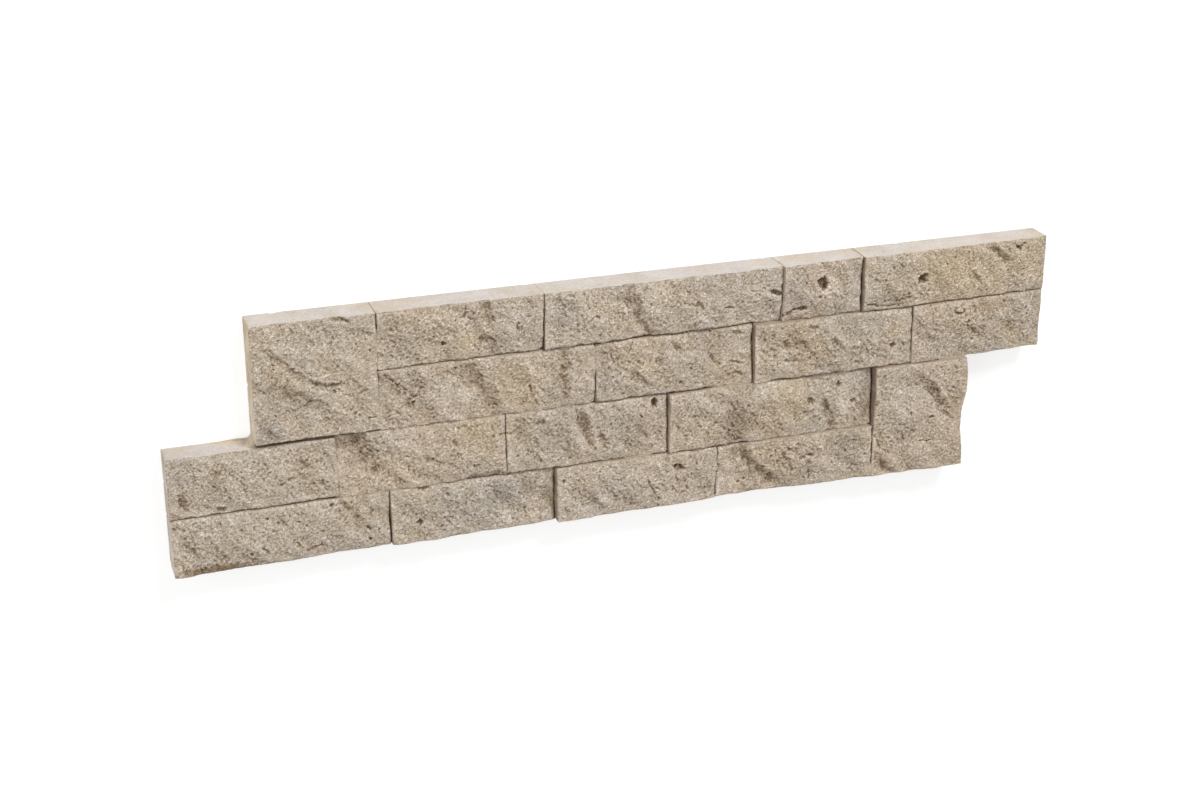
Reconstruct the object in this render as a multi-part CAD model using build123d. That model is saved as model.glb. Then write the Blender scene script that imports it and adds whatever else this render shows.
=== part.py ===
from build123d import *
from dataclasses import dataclass
from math import cos, exp, hypot, pi, radians, sin
import os

# A split-face stone veneer panel lying on its sawn back. X runs along the courses, Y runs from the
# bottom course to the top one, and Z points out of the wall. The origin is at the centre of the back.

# Outline of the panel, in millimetres
course_length = 510.0
end_step = 53.0
bottom_course_height = 35.7
lower_course_height = 39.5
upper_course_height = 38.6
top_course_height = 36.2
end_wave = 1.3
end_wave_crest = 0.8
end_wave_length = 0.8

# Resin joints between the stones
joint_width = 0.6
resin_below_face = 2.5
resin_setback = 1.0
bead_radius = 3.5

# The split faces, made of flat facets. Each ripple is its length, the direction that it travels in
# degrees, and its height.
facet_size = 4.0
ripples = ((46.0, 38.0, 0.50), (29.0, 62.0, 0.36), (19.0, 24.0, 0.30), (13.0, 47.0, 0.24))
split_angle = 50.0
stroke_height = 0.3
stroke_length = 8.5

panel_length = course_length + end_step
panel_height = bottom_course_height + lower_course_height + upper_course_height + top_course_height


@dataclass
class Scarp:
    """A slope from a crest down to its left, followed from the crest's first point to its last."""

    crest: list
    drop: float
    run: float


@dataclass
class Hollow:
    """A hole or a broken-out dip, oval in outline."""

    x: float
    y: float
    length: float
    width: float
    depth: float


@dataclass
class Stone:
    """One stone: its length along the course, its thickness at the corners and its crown.

    Marks are placed from the panel's lower left corner. A stone cut short stays clear of the joint
    below or above it.
    """

    name: str
    length: float
    bottom_left: float
    bottom_right: float
    top_left: float
    top_right: float
    belly: float
    marks: tuple = ()
    clear_below: float = 0.0
    clear_above: float = 0.0


@dataclass
class Place:
    """Where a stone lies: the joint centres or outer edges that bound it, and what it meets."""

    stone: Stone
    left: float
    right: float
    low: float
    high: float
    meets_left: bool
    meets_right: bool


# Stones that stand two courses high, one at each end
tall_left = Stone(
    "tall_stone_left", 74.0, 19.5, 18.5, 21.0, 21.0, 1.0,
    (
        Scarp([(108, 110), (93, 111), (80, 119.5), (69, 131), (60, 136)], 1.2, 4.0),
        Scarp([(101, 93), (85, 105.5), (67, 113), (57, 117)], 0.8, 4.5),
    ),
    clear_below=0.9,
)
tall_right = Stone(
    "tall_stone_right", 63.5, 19.0, 19.3, 22.3, 21.8, 0.5,
    (
        Scarp([(501.5, 38), (494.5, 48), (489.5, 56), (477.5, 70)], 2.6, 5.0),
        Scarp([(466, 1), (458, 8), (450, 19)], 1.2, 5.0),
    ),
)

# Single-course stones from left to right. The last one of a course takes up the length that is left.
bottom_stones = [
    Stone("bottom_stone_1", 131.0, 22.3, 16.5, 18.5, 18.0, 1.4),
    Stone("bottom_stone_2", 104.0, 20.0, 15.5, 18.5, 14.8, 1.2, (Hollow(233.5, 20, 10, 32, 1.5),)),
    Stone("bottom_stone_3", 105.5, 20.0, 17.0, 18.5, 19.0, 1.2),
    Stone(
        "bottom_stone_4", 0.0, 14.5, 18.5, 19.5, 19.5, 1.0,
        (Scarp([(384, 8), (369, 19), (364, 27), (361, 37)], 2.2, 5.0), Hollow(431, 25, 22, 13, 1.0)),
    ),
]
lower_stones = [
    Stone(
        "lower_stone_1", 100.0, 19.0, 18.2, 18.8, 17.2, 1.2,
        (Hollow(8.5, 46, 7, 14, 1.6),),
        clear_above=0.9,
    ),
    Stone(
        "lower_stone_2", 104.0, 18.2, 18.0, 16.5, 18.0, 1.2,
        (Scarp([(134, 51), (128, 57), (123, 66), (119, 76)], 2.0, 8.0),),
    ),
    Stone(
        "lower_stone_3", 104.0, 18.0, 16.8, 18.0, 16.6, 1.2,
        (Scarp([(262, 48), (259, 59), (256.5, 71)], 2.6, 5.5), Hollow(299.5, 69.3, 4, 7, 3.6)),
    ),
    Stone(
        "lower_stone_4", 0.0, 20.0, 17.0, 20.0, 16.5, 1.2,
        (Hollow(356, 51, 24, 26, 1.4), Scarp([(423, 39), (418, 49), (415, 57)], 1.2, 4.0)),
    ),
]
upper_stones = [
    Stone(
        "upper_stone_1", 134.0, 18.3, 17.8, 19.5, 18.5, 1.0,
        (
            Scarp([(203, 78), (199, 90), (189, 106), (180, 114)], 1.3, 8.0),
            Scarp([(246.5, 77), (248, 113)], 1.9, 6.0),
            Scarp([(150, 89), (144, 100), (133, 110)], 1.0, 5.0),
        ),
    ),
    Stone("upper_stone_2", 103.0, 18.8, 17.2, 18.5, 15.5, 1.6, (Hollow(355, 109, 12, 7, 0.9),)),
    Stone("upper_stone_3", 107.0, 20.0, 19.0, 21.5, 19.0, 1.0, (Hollow(440, 86, 22, 10, 0.8),)),
    Stone("upper_stone_4", 0.0, 20.5, 15.0, 20.5, 16.5, 1.6, (Hollow(517, 92, 12, 8, 1.0),)),
]
top_stones = [
    Stone(
        "top_stone_1", 102.0, 19.8, 17.5, 21.0, 21.0, 1.0,
        (Scarp([(203, 118), (198, 125), (191, 131)], 1.5, 5.0), Scarp([(199, 136), (196, 149)], 1.3, 5.0)),
    ),
    Stone(
        "top_stone_2", 153.0, 20.5, 16.5, 21.5, 20.5, 1.5,
        (Scarp([(303, 117), (293.5, 128), (291.5, 140), (287, 150)], 2.3, 7.0),),
    ),
    Stone("top_stone_3", 54.0, 21.0, 17.0, 22.3, 19.5, 0.8, (Hollow(409, 135, 6, 8.5, 4.2),)),
    Stone(
        "top_stone_4", 0.0, 21.0, 16.5, 22.0, 19.0, 1.0,
        (Hollow(477, 131, 5.4, 4.6, 2.4), Scarp([(538.5, 138), (526, 149)], 1.8, 4.0)),
    ),
]

# Lines that the courses share, measured from the centre of the panel
lower_start = -panel_length / 2
lower_end = lower_start + course_length
upper_start = lower_start + end_step
upper_end = upper_start + course_length
bottom_edge = -panel_height / 2
lower_joint = bottom_edge + bottom_course_height
step_joint = lower_joint + lower_course_height
upper_joint = step_joint + upper_course_height
top_edge = bottom_edge + panel_height


def lay_course(stones, start, end, low, high, meets_ends):
    """Lay single-course stones side by side from start to end."""
    places = []
    left = start
    for index, stone in enumerate(stones):
        last = index == len(stones) - 1
        right = end if last else left + stone.length
        meets_left = index > 0 or meets_ends[0]
        meets_right = not last or meets_ends[1]
        stone_low = low + stone.clear_below
        stone_high = high - stone.clear_above
        places.append(Place(stone, left, right, stone_low, stone_high, meets_left, meets_right))
        left = right
    return places


def lay_panel():
    """Every stone in its place, course by course from the bottom, then the two tall stones."""
    tall_left_end = upper_start + tall_left.length
    tall_right_start = lower_end - tall_right.length
    before = (False, True)
    after = (True, False)
    places = lay_course(bottom_stones, lower_start, tall_right_start, bottom_edge, lower_joint, before)
    places += lay_course(lower_stones, lower_start, tall_right_start, lower_joint, step_joint, before)
    places += lay_course(upper_stones, tall_left_end, upper_end, step_joint, upper_joint, after)
    places += lay_course(top_stones, tall_left_end, upper_end, upper_joint, top_edge, after)
    places += lay_course([tall_left], upper_start, tall_left_end, step_joint, top_edge, before)
    places += lay_course([tall_right], tall_right_start, lower_end, bottom_edge, step_joint, after)
    return places


def below_scarp(scarp, x, y):
    """Depth of a point below the face on the low side of a scarp."""
    depth = 0.0
    nearest = 4 * scarp.run
    for (start_x, start_y), (end_x, end_y) in zip(scarp.crest, scarp.crest[1:]):
        length = hypot(end_x - start_x, end_y - start_y)
        along = ((x - start_x) * (end_x - start_x) + (y - start_y) * (end_y - start_y)) / length
        beside = ((y - start_y) * (end_x - start_x) - (x - start_x) * (end_y - start_y)) / length
        past_end = max(-along, along - length, 0)
        distance = hypot(beside, past_end)
        if beside > 0 and distance < nearest:
            nearest = distance
            slope = min(beside / scarp.run, 1) * exp(-max(beside - scarp.run, 0) / (2 * scarp.run))
            depth = scarp.drop * slope * max(0, 1 - past_end / scarp.run)
    return depth


def below_hollow(hollow, x, y):
    """Depth of a point in a hollow, which falls away smoothly from its outline."""
    reach = hypot((x - hollow.x) / hollow.length, (y - hollow.y) / hollow.width)
    return hollow.depth * max(0, 1 - 1.4 * reach)


def above_ripples(number, x, y):
    """Height of the broad ripples of the split, which run differently over each stone."""
    height = 0
    for order, (length, direction, rise) in enumerate(ripples):
        turn = radians(direction)
        across = x * cos(turn) + y * sin(turn)
        along = y * cos(turn) - x * sin(turn)
        phase = number * (2.4 + order)
        bend = 0.15 * length * sin(pi * along / length + phase)
        height += rise * sin(2 * pi * (across + bend) / length + phase)
    return height


def split_height(place, number, x, y):
    """Thickness of a stone at x, y on its split side."""
    stone = place.stone
    u = (x - place.left) / (place.right - place.left)
    v = (y - place.low) / (place.high - place.low)
    low = stone.bottom_left * (1 - u) + stone.bottom_right * u
    high = stone.top_left * (1 - u) + stone.top_right * u
    crown = stone.belly * 16 * u * (1 - u) * v * (1 - v)
    across = x * sin(radians(split_angle)) + y * cos(radians(split_angle))
    along = y * sin(radians(split_angle)) - x * cos(radians(split_angle))
    stroke = stroke_height * sin(2 * pi * across / stroke_length + number) * sin(pi * along / stroke_length)
    depth = 0
    for mark in stone.marks:
        below = below_scarp if isinstance(mark, Scarp) else below_hollow
        depth += below(mark, x - lower_start, y - bottom_edge)
    return low * (1 - v) + high * v + crown + above_ripples(number, x, y) + stroke - depth


def split_points(place, number):
    """Corner points of the facets on the split side, row by row from the lower left corner."""
    gap = joint_width / 2
    left = place.left + gap * place.meets_left
    right = place.right - gap * place.meets_right
    low = place.low + gap * (place.low > bottom_edge)
    high = place.high - gap * (place.high < top_edge)
    columns = round((right - left) / facet_size)
    rows = round((high - low) / facet_size)
    points = []
    for row in range(rows + 1):
        y = low + (high - low) * row / rows
        wave = end_wave * cos(2 * pi * (row / rows - end_wave_crest) / end_wave_length)
        end = right + wave if place.stone is tall_right else right
        line = []
        for column in range(columns + 1):
            x = left + (end - left) * column / columns
            line.append((x, y, split_height(place, number, x, y)))
        points.append(line)
    return points


def flat_face(corners):
    """A flat face through its corners."""
    return Face(Wire.make_polygon(corners, close=True))


def down(point):
    """The point on the back under a point of the split side."""
    return (point[0], point[1], 0.0)


def make_stone(place, number):
    """A stone sawn on its back and four sides and split on its face."""
    points = split_points(place, number)
    faces = []
    for row, (line, next_line) in enumerate(zip(points, points[1:])):
        for column in range(len(line) - 1):
            corners = [line[column], line[column + 1], next_line[column + 1], next_line[column]]
            turned = corners[1:] + corners[:1] if (row + column) % 2 else corners
            faces.append(flat_face(turned[:3]))
            faces.append(flat_face([turned[2], turned[3], turned[0]]))
    left_side = [line[0] for line in points]
    right_side = [line[-1] for line in points]
    for side in (points[0], points[-1], left_side):
        faces.append(flat_face([down(side[0]), *side, down(side[-1])]))
    for lower, higher in zip(right_side, right_side[1:]):
        faces.append(flat_face([down(lower), lower, higher, down(higher)]))
    back = [down(points[0][0]), *(down(point) for point in right_side), down(points[-1][0])]
    faces.append(flat_face(back))
    return Solid(Shell(faces))


def make_bond(left, right, low, high, top):
    """A flat strip of resin on edge between two stones."""
    corner = Pos(left, low, resin_setback)
    return corner * Box(right - left, high - low, top - resin_setback, align=Align.MIN)


def make_bead(top):
    """The resin squeezed out into the corner where the upper courses step back at the left."""
    depth = top - resin_setback
    drop = Cylinder(bead_radius, depth, align=(Align.CENTER, Align.CENTER, Align.MIN))
    corner = Box(bead_radius, bead_radius, depth, align=(Align.MAX, Align.MIN, Align.MIN))
    low = step_joint - joint_width / 2 - lower_stones[0].clear_above
    return Pos(upper_start, low, resin_setback) * (drop & corner)


def make_resin(places):
    """The resin in all the joints, one body of bonds that run into each other."""
    heights = []
    for number, place in enumerate(places):
        heights += [point[2] for line in split_points(place, number) for point in line]
    top = min(heights) - resin_below_face
    half = joint_width / 2
    short_end = lower_start + lower_stones[0].length + half
    tall_end = upper_start + tall_left.length + half
    step_end = lower_end - end_wave - resin_setback
    below_short = step_joint - half - lower_stones[0].clear_above
    above_short = step_joint + half + tall_left.clear_below
    resin = make_bead(top)
    resin += make_bond(upper_start, short_end, below_short, above_short, top)
    resin += make_bond(short_end, tall_end, step_joint - half, above_short, top)
    resin += make_bond(tall_end, step_end, step_joint - half, step_joint + half, top)
    resin += make_bond(
        lower_start + resin_setback,
        lower_end - tall_right.length,
        lower_joint - half,
        lower_joint + half,
        top,
    )
    resin += make_bond(
        upper_start + tall_left.length,
        upper_end - resin_setback,
        upper_joint - half,
        upper_joint + half,
        top,
    )
    for place in places:
        if place.meets_right:
            low = max(place.low, bottom_edge + resin_setback)
            high = min(place.high, top_edge - resin_setback)
            resin += make_bond(place.right - half, place.right + half, low, high, top)
    return resin


os.makedirs("parts", exist_ok=True)
laid_stones = lay_panel()
for number, place in enumerate(laid_stones):
    export_step(make_stone(place, number), f"parts/{place.stone.name}.step")
export_step(make_resin(laid_stones), "parts/resin_joints.step")
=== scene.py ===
import logging
import math
from dataclasses import dataclass, field
from enum import Enum

import bpy
import numpy as np
from mathutils import Matrix, Vector


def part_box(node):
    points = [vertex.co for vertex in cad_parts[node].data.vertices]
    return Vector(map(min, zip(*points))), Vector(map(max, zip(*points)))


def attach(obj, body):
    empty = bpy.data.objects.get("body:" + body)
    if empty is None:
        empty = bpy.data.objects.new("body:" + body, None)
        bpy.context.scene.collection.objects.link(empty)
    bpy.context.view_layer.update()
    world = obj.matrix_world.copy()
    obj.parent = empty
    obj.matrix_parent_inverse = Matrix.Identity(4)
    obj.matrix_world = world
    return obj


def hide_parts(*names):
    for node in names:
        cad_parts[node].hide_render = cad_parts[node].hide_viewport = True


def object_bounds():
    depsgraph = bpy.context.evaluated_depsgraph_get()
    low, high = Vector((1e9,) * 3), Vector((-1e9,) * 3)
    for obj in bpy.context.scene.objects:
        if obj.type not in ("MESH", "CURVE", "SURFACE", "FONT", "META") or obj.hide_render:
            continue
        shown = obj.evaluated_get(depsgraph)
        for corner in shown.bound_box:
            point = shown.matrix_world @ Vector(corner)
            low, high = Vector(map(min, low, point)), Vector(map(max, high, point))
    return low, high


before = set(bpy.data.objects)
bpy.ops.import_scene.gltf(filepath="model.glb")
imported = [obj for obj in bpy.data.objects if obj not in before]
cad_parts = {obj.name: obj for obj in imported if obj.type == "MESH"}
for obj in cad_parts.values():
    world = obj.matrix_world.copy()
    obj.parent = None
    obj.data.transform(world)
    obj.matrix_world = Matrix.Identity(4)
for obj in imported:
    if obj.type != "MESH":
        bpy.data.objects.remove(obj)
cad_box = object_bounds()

# Split-face stones bonded edge to edge. Panel millimetres run from the lower courses' left end,
# the bottom edge and the sawn back. Blender's own units are metres about the centre of the back.
MM = 0.001
BODY = "root"
CENTRE_X = cad_box[1][0] / MM
CENTRE_Y = cad_box[1][1] / MM
THICKEST = cad_box[1][2] / MM
WHITE = (1.0, 1.0, 1.0, 1.0)
Array = np.ndarray
Socket = bpy.types.NodeSocket
log = logging.getLogger("stone_veneer_panel")


class Surface(Enum):
    """Material slots of a stone, in the order of its mesh's material list."""

    SPLIT = 0
    SAWN = 1
    BACK = 2


class Tint(Enum):
    """Stains of the stone and painted shade and light, as factors on red, green and blue. The last three are
    for sawn sides.
    """

    GREY = (0.80, 0.81, 0.84)
    BROWN = (0.87, 0.82, 0.75)
    OLIVE = (1.05, 1.02, 0.91)
    RUST = (0.74, 0.62, 0.57)
    # PALE also paints light on a few patches, such as the highlight along a scarp's crest.
    PALE = (1.10, 1.11, 1.13)
    # DARK also paints shade: on scarp slopes, in deep holes and cracks, and on a few shadowed patches.
    DARK = (0.62, 0.56, 0.50)
    RESIN = (1.06, 0.99, 0.85)
    CHALK = (1.0, 0.99, 0.94)
    BLOTCH = (1.0, 1.10, 1.35)


def footprints() -> dict:
    """Read where every stone stands.

    Returns:
        For each node, its left, right, low and high edge in panel millimetres.
    """
    found = {}
    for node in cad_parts:
        if "stone" in node:
            low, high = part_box(node)
            across = (low[0] / MM + CENTRE_X, high[0] / MM + CENTRE_X)
            found[node] = (*across, low[1] / MM + CENTRE_Y, high[1] / MM + CENTRE_Y)
    return found


PLACES = footprints()


def smoothstep(low: float, high: float, value: Array) -> Array:
    """Return the smooth ramp from 0 at low to 1 at high."""
    t = np.clip((value - low) / (high - low), 0.0, 1.0)
    return t * t * (3.0 - 2.0 * t)


def blurred(grid: Array, reach: int) -> Array:
    """Average a grid over its neighbours.

    Args:
        grid: Rows and columns of values.
        reach: How many neighbours on each side count.

    Returns:
        The smoothed grid, as large as the given one.
    """
    for _ in range(2):
        for axis in (0, 1):
            padding = [(0, 0), (0, 0)]
            padding[axis] = (reach + 1, reach)
            total = np.cumsum(np.pad(grid, padding, mode="edge"), axis=axis)
            size = grid.shape[axis]
            after = np.take(total, range(2 * reach + 1, 2 * reach + 1 + size), axis=axis)
            before = np.take(total, range(size), axis=axis)
            grid = (after - before) / (2 * reach + 1)
    return grid


def new_piece(name: str, points: Array, faces: list) -> bpy.types.Object:
    """Make an object from points in panel millimetres.

    Args:
        name: Name of the object and its mesh.
        points: One row for each point.
        faces: The points of each face.

    Returns:
        The object, in the scene.
    """
    mesh = bpy.data.meshes.new(name)
    mesh.from_pydata(((points - np.array([CENTRE_X, CENTRE_Y, 0.0])) * MM).tolist(), [], faces)
    piece = bpy.data.objects.new(name, mesh)
    bpy.context.collection.objects.link(piece)
    return piece


@dataclass(frozen=True)
class Noise:
    """Seeded gradient and cell noise on a plane, for relief and for stains."""

    seed: int
    origin: float = 4096.5

    def _hash(self, ix: Array, iy: Array, salt: int) -> Array:
        """Scramble lattice corners into numbers from 0 to 1.

        Args:
            ix: Whole column numbers.
            iy: Whole row numbers.
            salt: A number that sets this draw apart from others.

        Returns:
            One number from 0 to 1 for each corner.
        """
        h = ix.astype(np.uint64) * np.uint64(374761393) + iy.astype(np.uint64) * np.uint64(668265263)
        h = h + np.uint64((self.seed * 1013904223 + salt * 2246822519) & 0xFFFFFFFF)
        h = (h ^ (h >> np.uint64(13))) * np.uint64(1274126177)
        h = (h ^ (h >> np.uint64(16))) & np.uint64(0xFFFFFF)
        return h.astype(np.float64) / float(0xFFFFFF)

    def gradient(self, x: Array, y: Array, size: float, salt: int = 0) -> Array:
        """Smooth noise whose lumps are about one size across.

        Args:
            x: Positions along the first axis, in millimetres.
            y: Positions along the second axis, in millimetres.
            size: Spacing of the lattice, in millimetres.
            salt: A number that sets this layer apart from others.

        Returns:
            Values from about -1 to 1.
        """
        px = x / size + self.origin + 0.37 * salt
        py = y / size + self.origin + 0.61 * salt
        ix, iy = np.floor(px), np.floor(py)
        fx, fy = px - ix, py - iy
        sx = fx * fx * fx * (fx * (fx * 6.0 - 15.0) + 10.0)
        sy = fy * fy * fy * (fy * (fy * 6.0 - 15.0) + 10.0)
        corners = []
        for dx, dy in ((0, 0), (1, 0), (0, 1), (1, 1)):
            angle = 2.0 * math.pi * self._hash(ix + dx, iy + dy, salt)
            corners.append(np.cos(angle) * (fx - dx) + np.sin(angle) * (fy - dy))
        low = corners[0] + sx * (corners[1] - corners[0])
        high = corners[2] + sx * (corners[3] - corners[2])
        return (low + sy * (high - low)) * 1.5

    def cells(self, x: Array, y: Array, size: float, salt: int = 0) -> tuple:
        """Grains of about one size, packed like crystals.

        Args:
            x: Positions along the first axis, in millimetres.
            y: Positions along the second axis, in millimetres.
            size: Mean spacing of the grains, in millimetres.
            salt: A number that sets this layer apart from others.

        Returns:
            The distance to the nearest grain centre over size, and that grain's own number from 0 to 1.
        """
        px, py = x / size + self.origin, y / size + self.origin
        nearest, tone = np.full(px.shape, 9.0), np.zeros(px.shape)
        for dx in (-1, 0, 1):
            for dy in (-1, 0, 1):
                ix, iy = np.floor(px) + dx, np.floor(py) + dy
                cx = ix + 0.1 + 0.8 * self._hash(ix, iy, salt + 11)
                cy = iy + 0.1 + 0.8 * self._hash(ix, iy, salt + 12)
                gap = np.hypot(px - cx, py - cy)
                closer = gap < nearest
                nearest = np.where(closer, gap, nearest)
                tone = np.where(closer, self._hash(ix, iy, salt + 13), tone)
        return nearest, tone


def distance_to_line(x: Array, y: Array, line: tuple) -> tuple:
    """Measure positions against an open line of straight stretches.

    Args:
        x: Positions along X, in panel millimetres.
        y: Positions along Y, in panel millimetres.
        line: The line's points in order.

    Returns:
        The distance from the line, positive on its left, the distance past its nearer end and how far
        along the line the nearest point lies, from 0 to 1.
    """
    best = np.full(x.shape, 1e9)
    offset, beyond, share = np.zeros(x.shape), np.zeros(x.shape), np.zeros(x.shape)
    last = len(line) - 2
    for index, ((ax, ay), (bx, by)) in enumerate(zip(line, line[1:])):
        length = math.hypot(bx - ax, by - ay)
        ux, uy = (bx - ax) / length, (by - ay) / length
        along = (x - ax) * ux + (y - ay) * uy
        side = (y - ay) * ux - (x - ax) * uy
        held = np.clip(along, 0.0, length)
        away = np.hypot(x - ax - held * ux, y - ay - held * uy)
        past = np.maximum(-along, 0.0) if index == 0 else 0.0 * x
        if index == last:
            past = past + np.maximum(along - length, 0.0)
        closer = away < best
        best = np.where(closer, away, best)
        offset = np.where(closer, np.where(past > 0, side, np.sign(side) * away), offset)
        beyond = np.where(closer, past, beyond)
        share = np.where(closer, (index + held / length) / (last + 1), share)
    return offset, beyond, share


def paired(flat: tuple | list) -> tuple:
    """Return the points of a line that is written as x, y, x, y and so on."""
    return tuple(zip(flat[::2], flat[1::2]))


def oval(x: Array, y: Array, shape: tuple) -> Array:
    """Measure positions against a turned oval.

    Args:
        x: Positions along X, in panel millimetres.
        y: Positions along Y, in panel millimetres.
        shape: The oval's centre x and y, its length, its width and its turn in degrees.

    Returns:
        The distance from the centre, 1 on the outline.
    """
    middle_x, middle_y, length, width, angle = shape
    turn = math.radians(angle)
    along = (x - middle_x) * math.cos(turn) + (y - middle_y) * math.sin(turn)
    across = (y - middle_y) * math.cos(turn) - (x - middle_x) * math.sin(turn)
    return np.hypot(along / (0.5 * length), across / (0.5 * width))


@dataclass(frozen=True)
class Scarp:
    """A step where the split ran to another level: high on the crest's right, low on its left.

    The crest is followed from its lower right end to its upper left end, in panel millimetres.
    """

    crest: tuple
    drop: float
    run: float = 3.0
    recovery: float = 5.0
    lip: float = 0.2
    # How much the low slope darkens: painted shade, as it faces away from the light, and soiling.
    dirt_and_shade: float = 0.4
    fray: float = 1.0

    def frayed(self, x: Array, y: Array) -> tuple:
        """Measure positions against the crest as it wanders.

        Args:
            x: Positions along X, in panel millimetres.
            y: Positions along Y, in panel millimetres.

        Returns:
            The distance on the crest's left and how much of the scarp is there, from 0 to 1.
        """
        offset, beyond, share = distance_to_line(x, y, self.crest)
        noise = Noise(3)
        wander = 0.24 * self.run * noise.gradient(x, y, 6.5, 1) + 0.8 * noise.gradient(x, y, 2.6, 2)
        offset = offset + self.fray * wander + 0.4 * noise.gradient(x, y, 1.3, 3)
        ends = 0.45 + 0.55 * np.sqrt(np.clip(4.0 * share * (1.0 - share), 0.0, 1.0))
        return offset, ends * np.exp(-((beyond / (0.5 * self.run + 0.5)) ** 2))

    def apply(self, x: Array, y: Array) -> Array:
        """Work out how much the scarp lowers the face.

        Args:
            x: Positions along X, in panel millimetres.
            y: Positions along Y, in panel millimetres.

        Returns:
            The depth in millimetres, below 0 where the crest's lip stands up.
        """
        offset, present = self.frayed(x, y)
        slope = np.sin(0.5 * math.pi * np.clip(offset / self.run, 0.0, 1.0))
        fall = slope * np.exp(-np.maximum(offset - self.run, 0.0) / self.recovery)
        raised = self.lip * np.exp(-((offset + 0.7) / 1.0) ** 2)
        uneven = np.clip(1.0 + 0.9 * self.fray * Noise(3).gradient(x, y, 8.0, int(10 * self.drop)), 0.0, 2.0)
        return (self.drop * fall * uneven - raised) * present

    def cover(self, x: Array, y: Array) -> Array:
        """Work out how much the slope darkens with painted shade and soiling.

        Args:
            x: Positions along X, in panel millimetres.
            y: Positions along Y, in panel millimetres.

        Returns:
            The darkening's strength, 0 where there is none.
        """
        offset, present = self.frayed(x, y)
        noise = Noise(11)
        patchy = 0.75 + 0.9 * noise.gradient(x, y, 4.0, 1) + 0.9 * noise.gradient(x, y, 1.5, 2)
        slope = smoothstep(-0.3, 0.5, offset) * (1.0 - smoothstep(0.5 * self.run, 1.7 * self.run, offset))
        # Painted shade and soiling on the low slope, which faces away from the light.
        return self.dirt_and_shade * np.clip(patchy, 0.0, 1.5) * slope * present


@dataclass(frozen=True)
class Crack:
    """A thin open line in the face."""

    line: tuple
    width: float
    depth: float

    def apply(self, x: Array, y: Array) -> Array:
        """Work out how much the crack lowers the face.

        Args:
            x: Positions along X, in panel millimetres.
            y: Positions along Y, in panel millimetres.

        Returns:
            The depth in millimetres.
        """
        offset, beyond, _ = distance_to_line(x, y, self.line)
        noise = Noise(5)
        away = np.hypot(offset + 0.5 * noise.gradient(x, y, 3.0, 2), beyond)
        width = 0.55 * self.width * (1.0 + 0.6 * noise.gradient(x, y, 4.0, 3))
        uneven = np.clip(0.75 + 0.9 * noise.gradient(x, y, 2.6, 1), 0.0, 1.6)
        return self.depth * uneven * np.exp(-((away / width) ** 2))


@dataclass(frozen=True)
class Pit:
    """A natural hole, with soft sides a broken-out hollow, or with a negative depth a lump."""

    x: float
    y: float
    length: float
    width: float
    angle: float
    depth: float
    soft: float = 0.3

    def apply(self, x: Array, y: Array) -> Array:
        """Work out how much the hole lowers the face.

        Args:
            x: Positions along X, in panel millimetres.
            y: Positions along Y, in panel millimetres.

        Returns:
            The depth in millimetres.
        """
        ragged = Noise(7).gradient(x, y, max(1.1, 0.4 * self.width), int(self.x) % 97)
        reach = oval(x, y, (self.x, self.y, self.length, self.width, self.angle)) * (1.0 + 0.35 * ragged)
        return self.depth * (1.0 - smoothstep(1.0 - self.soft, 1.0 + self.soft, reach))


@dataclass(frozen=True)
class Patch:
    """A stained, bleached, rough or calm area with a soft, uneven edge; a few patches are painted shade,
    shadow or highlight instead.
    """

    tint: Tint
    x: float
    y: float
    length: float
    width: float
    angle: float
    strength: float = 1.0
    texture: float = 1.0

    def weight(self, x: Array, y: Array) -> Array:
        """Work out how strongly the patch covers the face.

        Args:
            x: Positions along X, in panel millimetres.
            y: Positions along Y, in panel millimetres.

        Returns:
            The cover, from 0 to 1.
        """
        ragged = Noise(9).gradient(x, y, max(2.5, 0.35 * self.width), int(self.y) % 89)
        ragged = ragged + 0.6 * Noise(9).gradient(x, y, 2.2, 5)
        reach = oval(x, y, (self.x, self.y, self.length, self.width, self.angle)) * (1.0 + 0.4 * ragged)
        return 1.0 - smoothstep(0.45, 1.35, reach)


@dataclass(frozen=True)
class OpenJoint:
    """A stretch of a joint that resin and dust don't fill, with its arrises broken away."""

    start: tuple
    end: tuple
    depth: float
    reach: float

    def openness(self, x: Array, y: Array, width: float) -> Array:
        """Work out how deep the groove is.

        Args:
            x: Positions along X, in panel millimetres.
            y: Positions along Y, in panel millimetres.
            width: How far from the joint's middle line the groove reaches.

        Returns:
            The depth in millimetres, 0 away from the stretch.
        """
        offset, beyond, _ = distance_to_line(x, y, (self.start, self.end))
        uneven = 0.75 + 0.5 * Noise(13).gradient(x, y, 6.0, 1) + 0.25 * Noise(13).gradient(x, y, 2.0, 2)
        away = offset / (width * self.reach)
        return self.depth * uneven * np.exp(-(away ** 2)) * np.exp(-((beyond / 2.0) ** 2))


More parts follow.
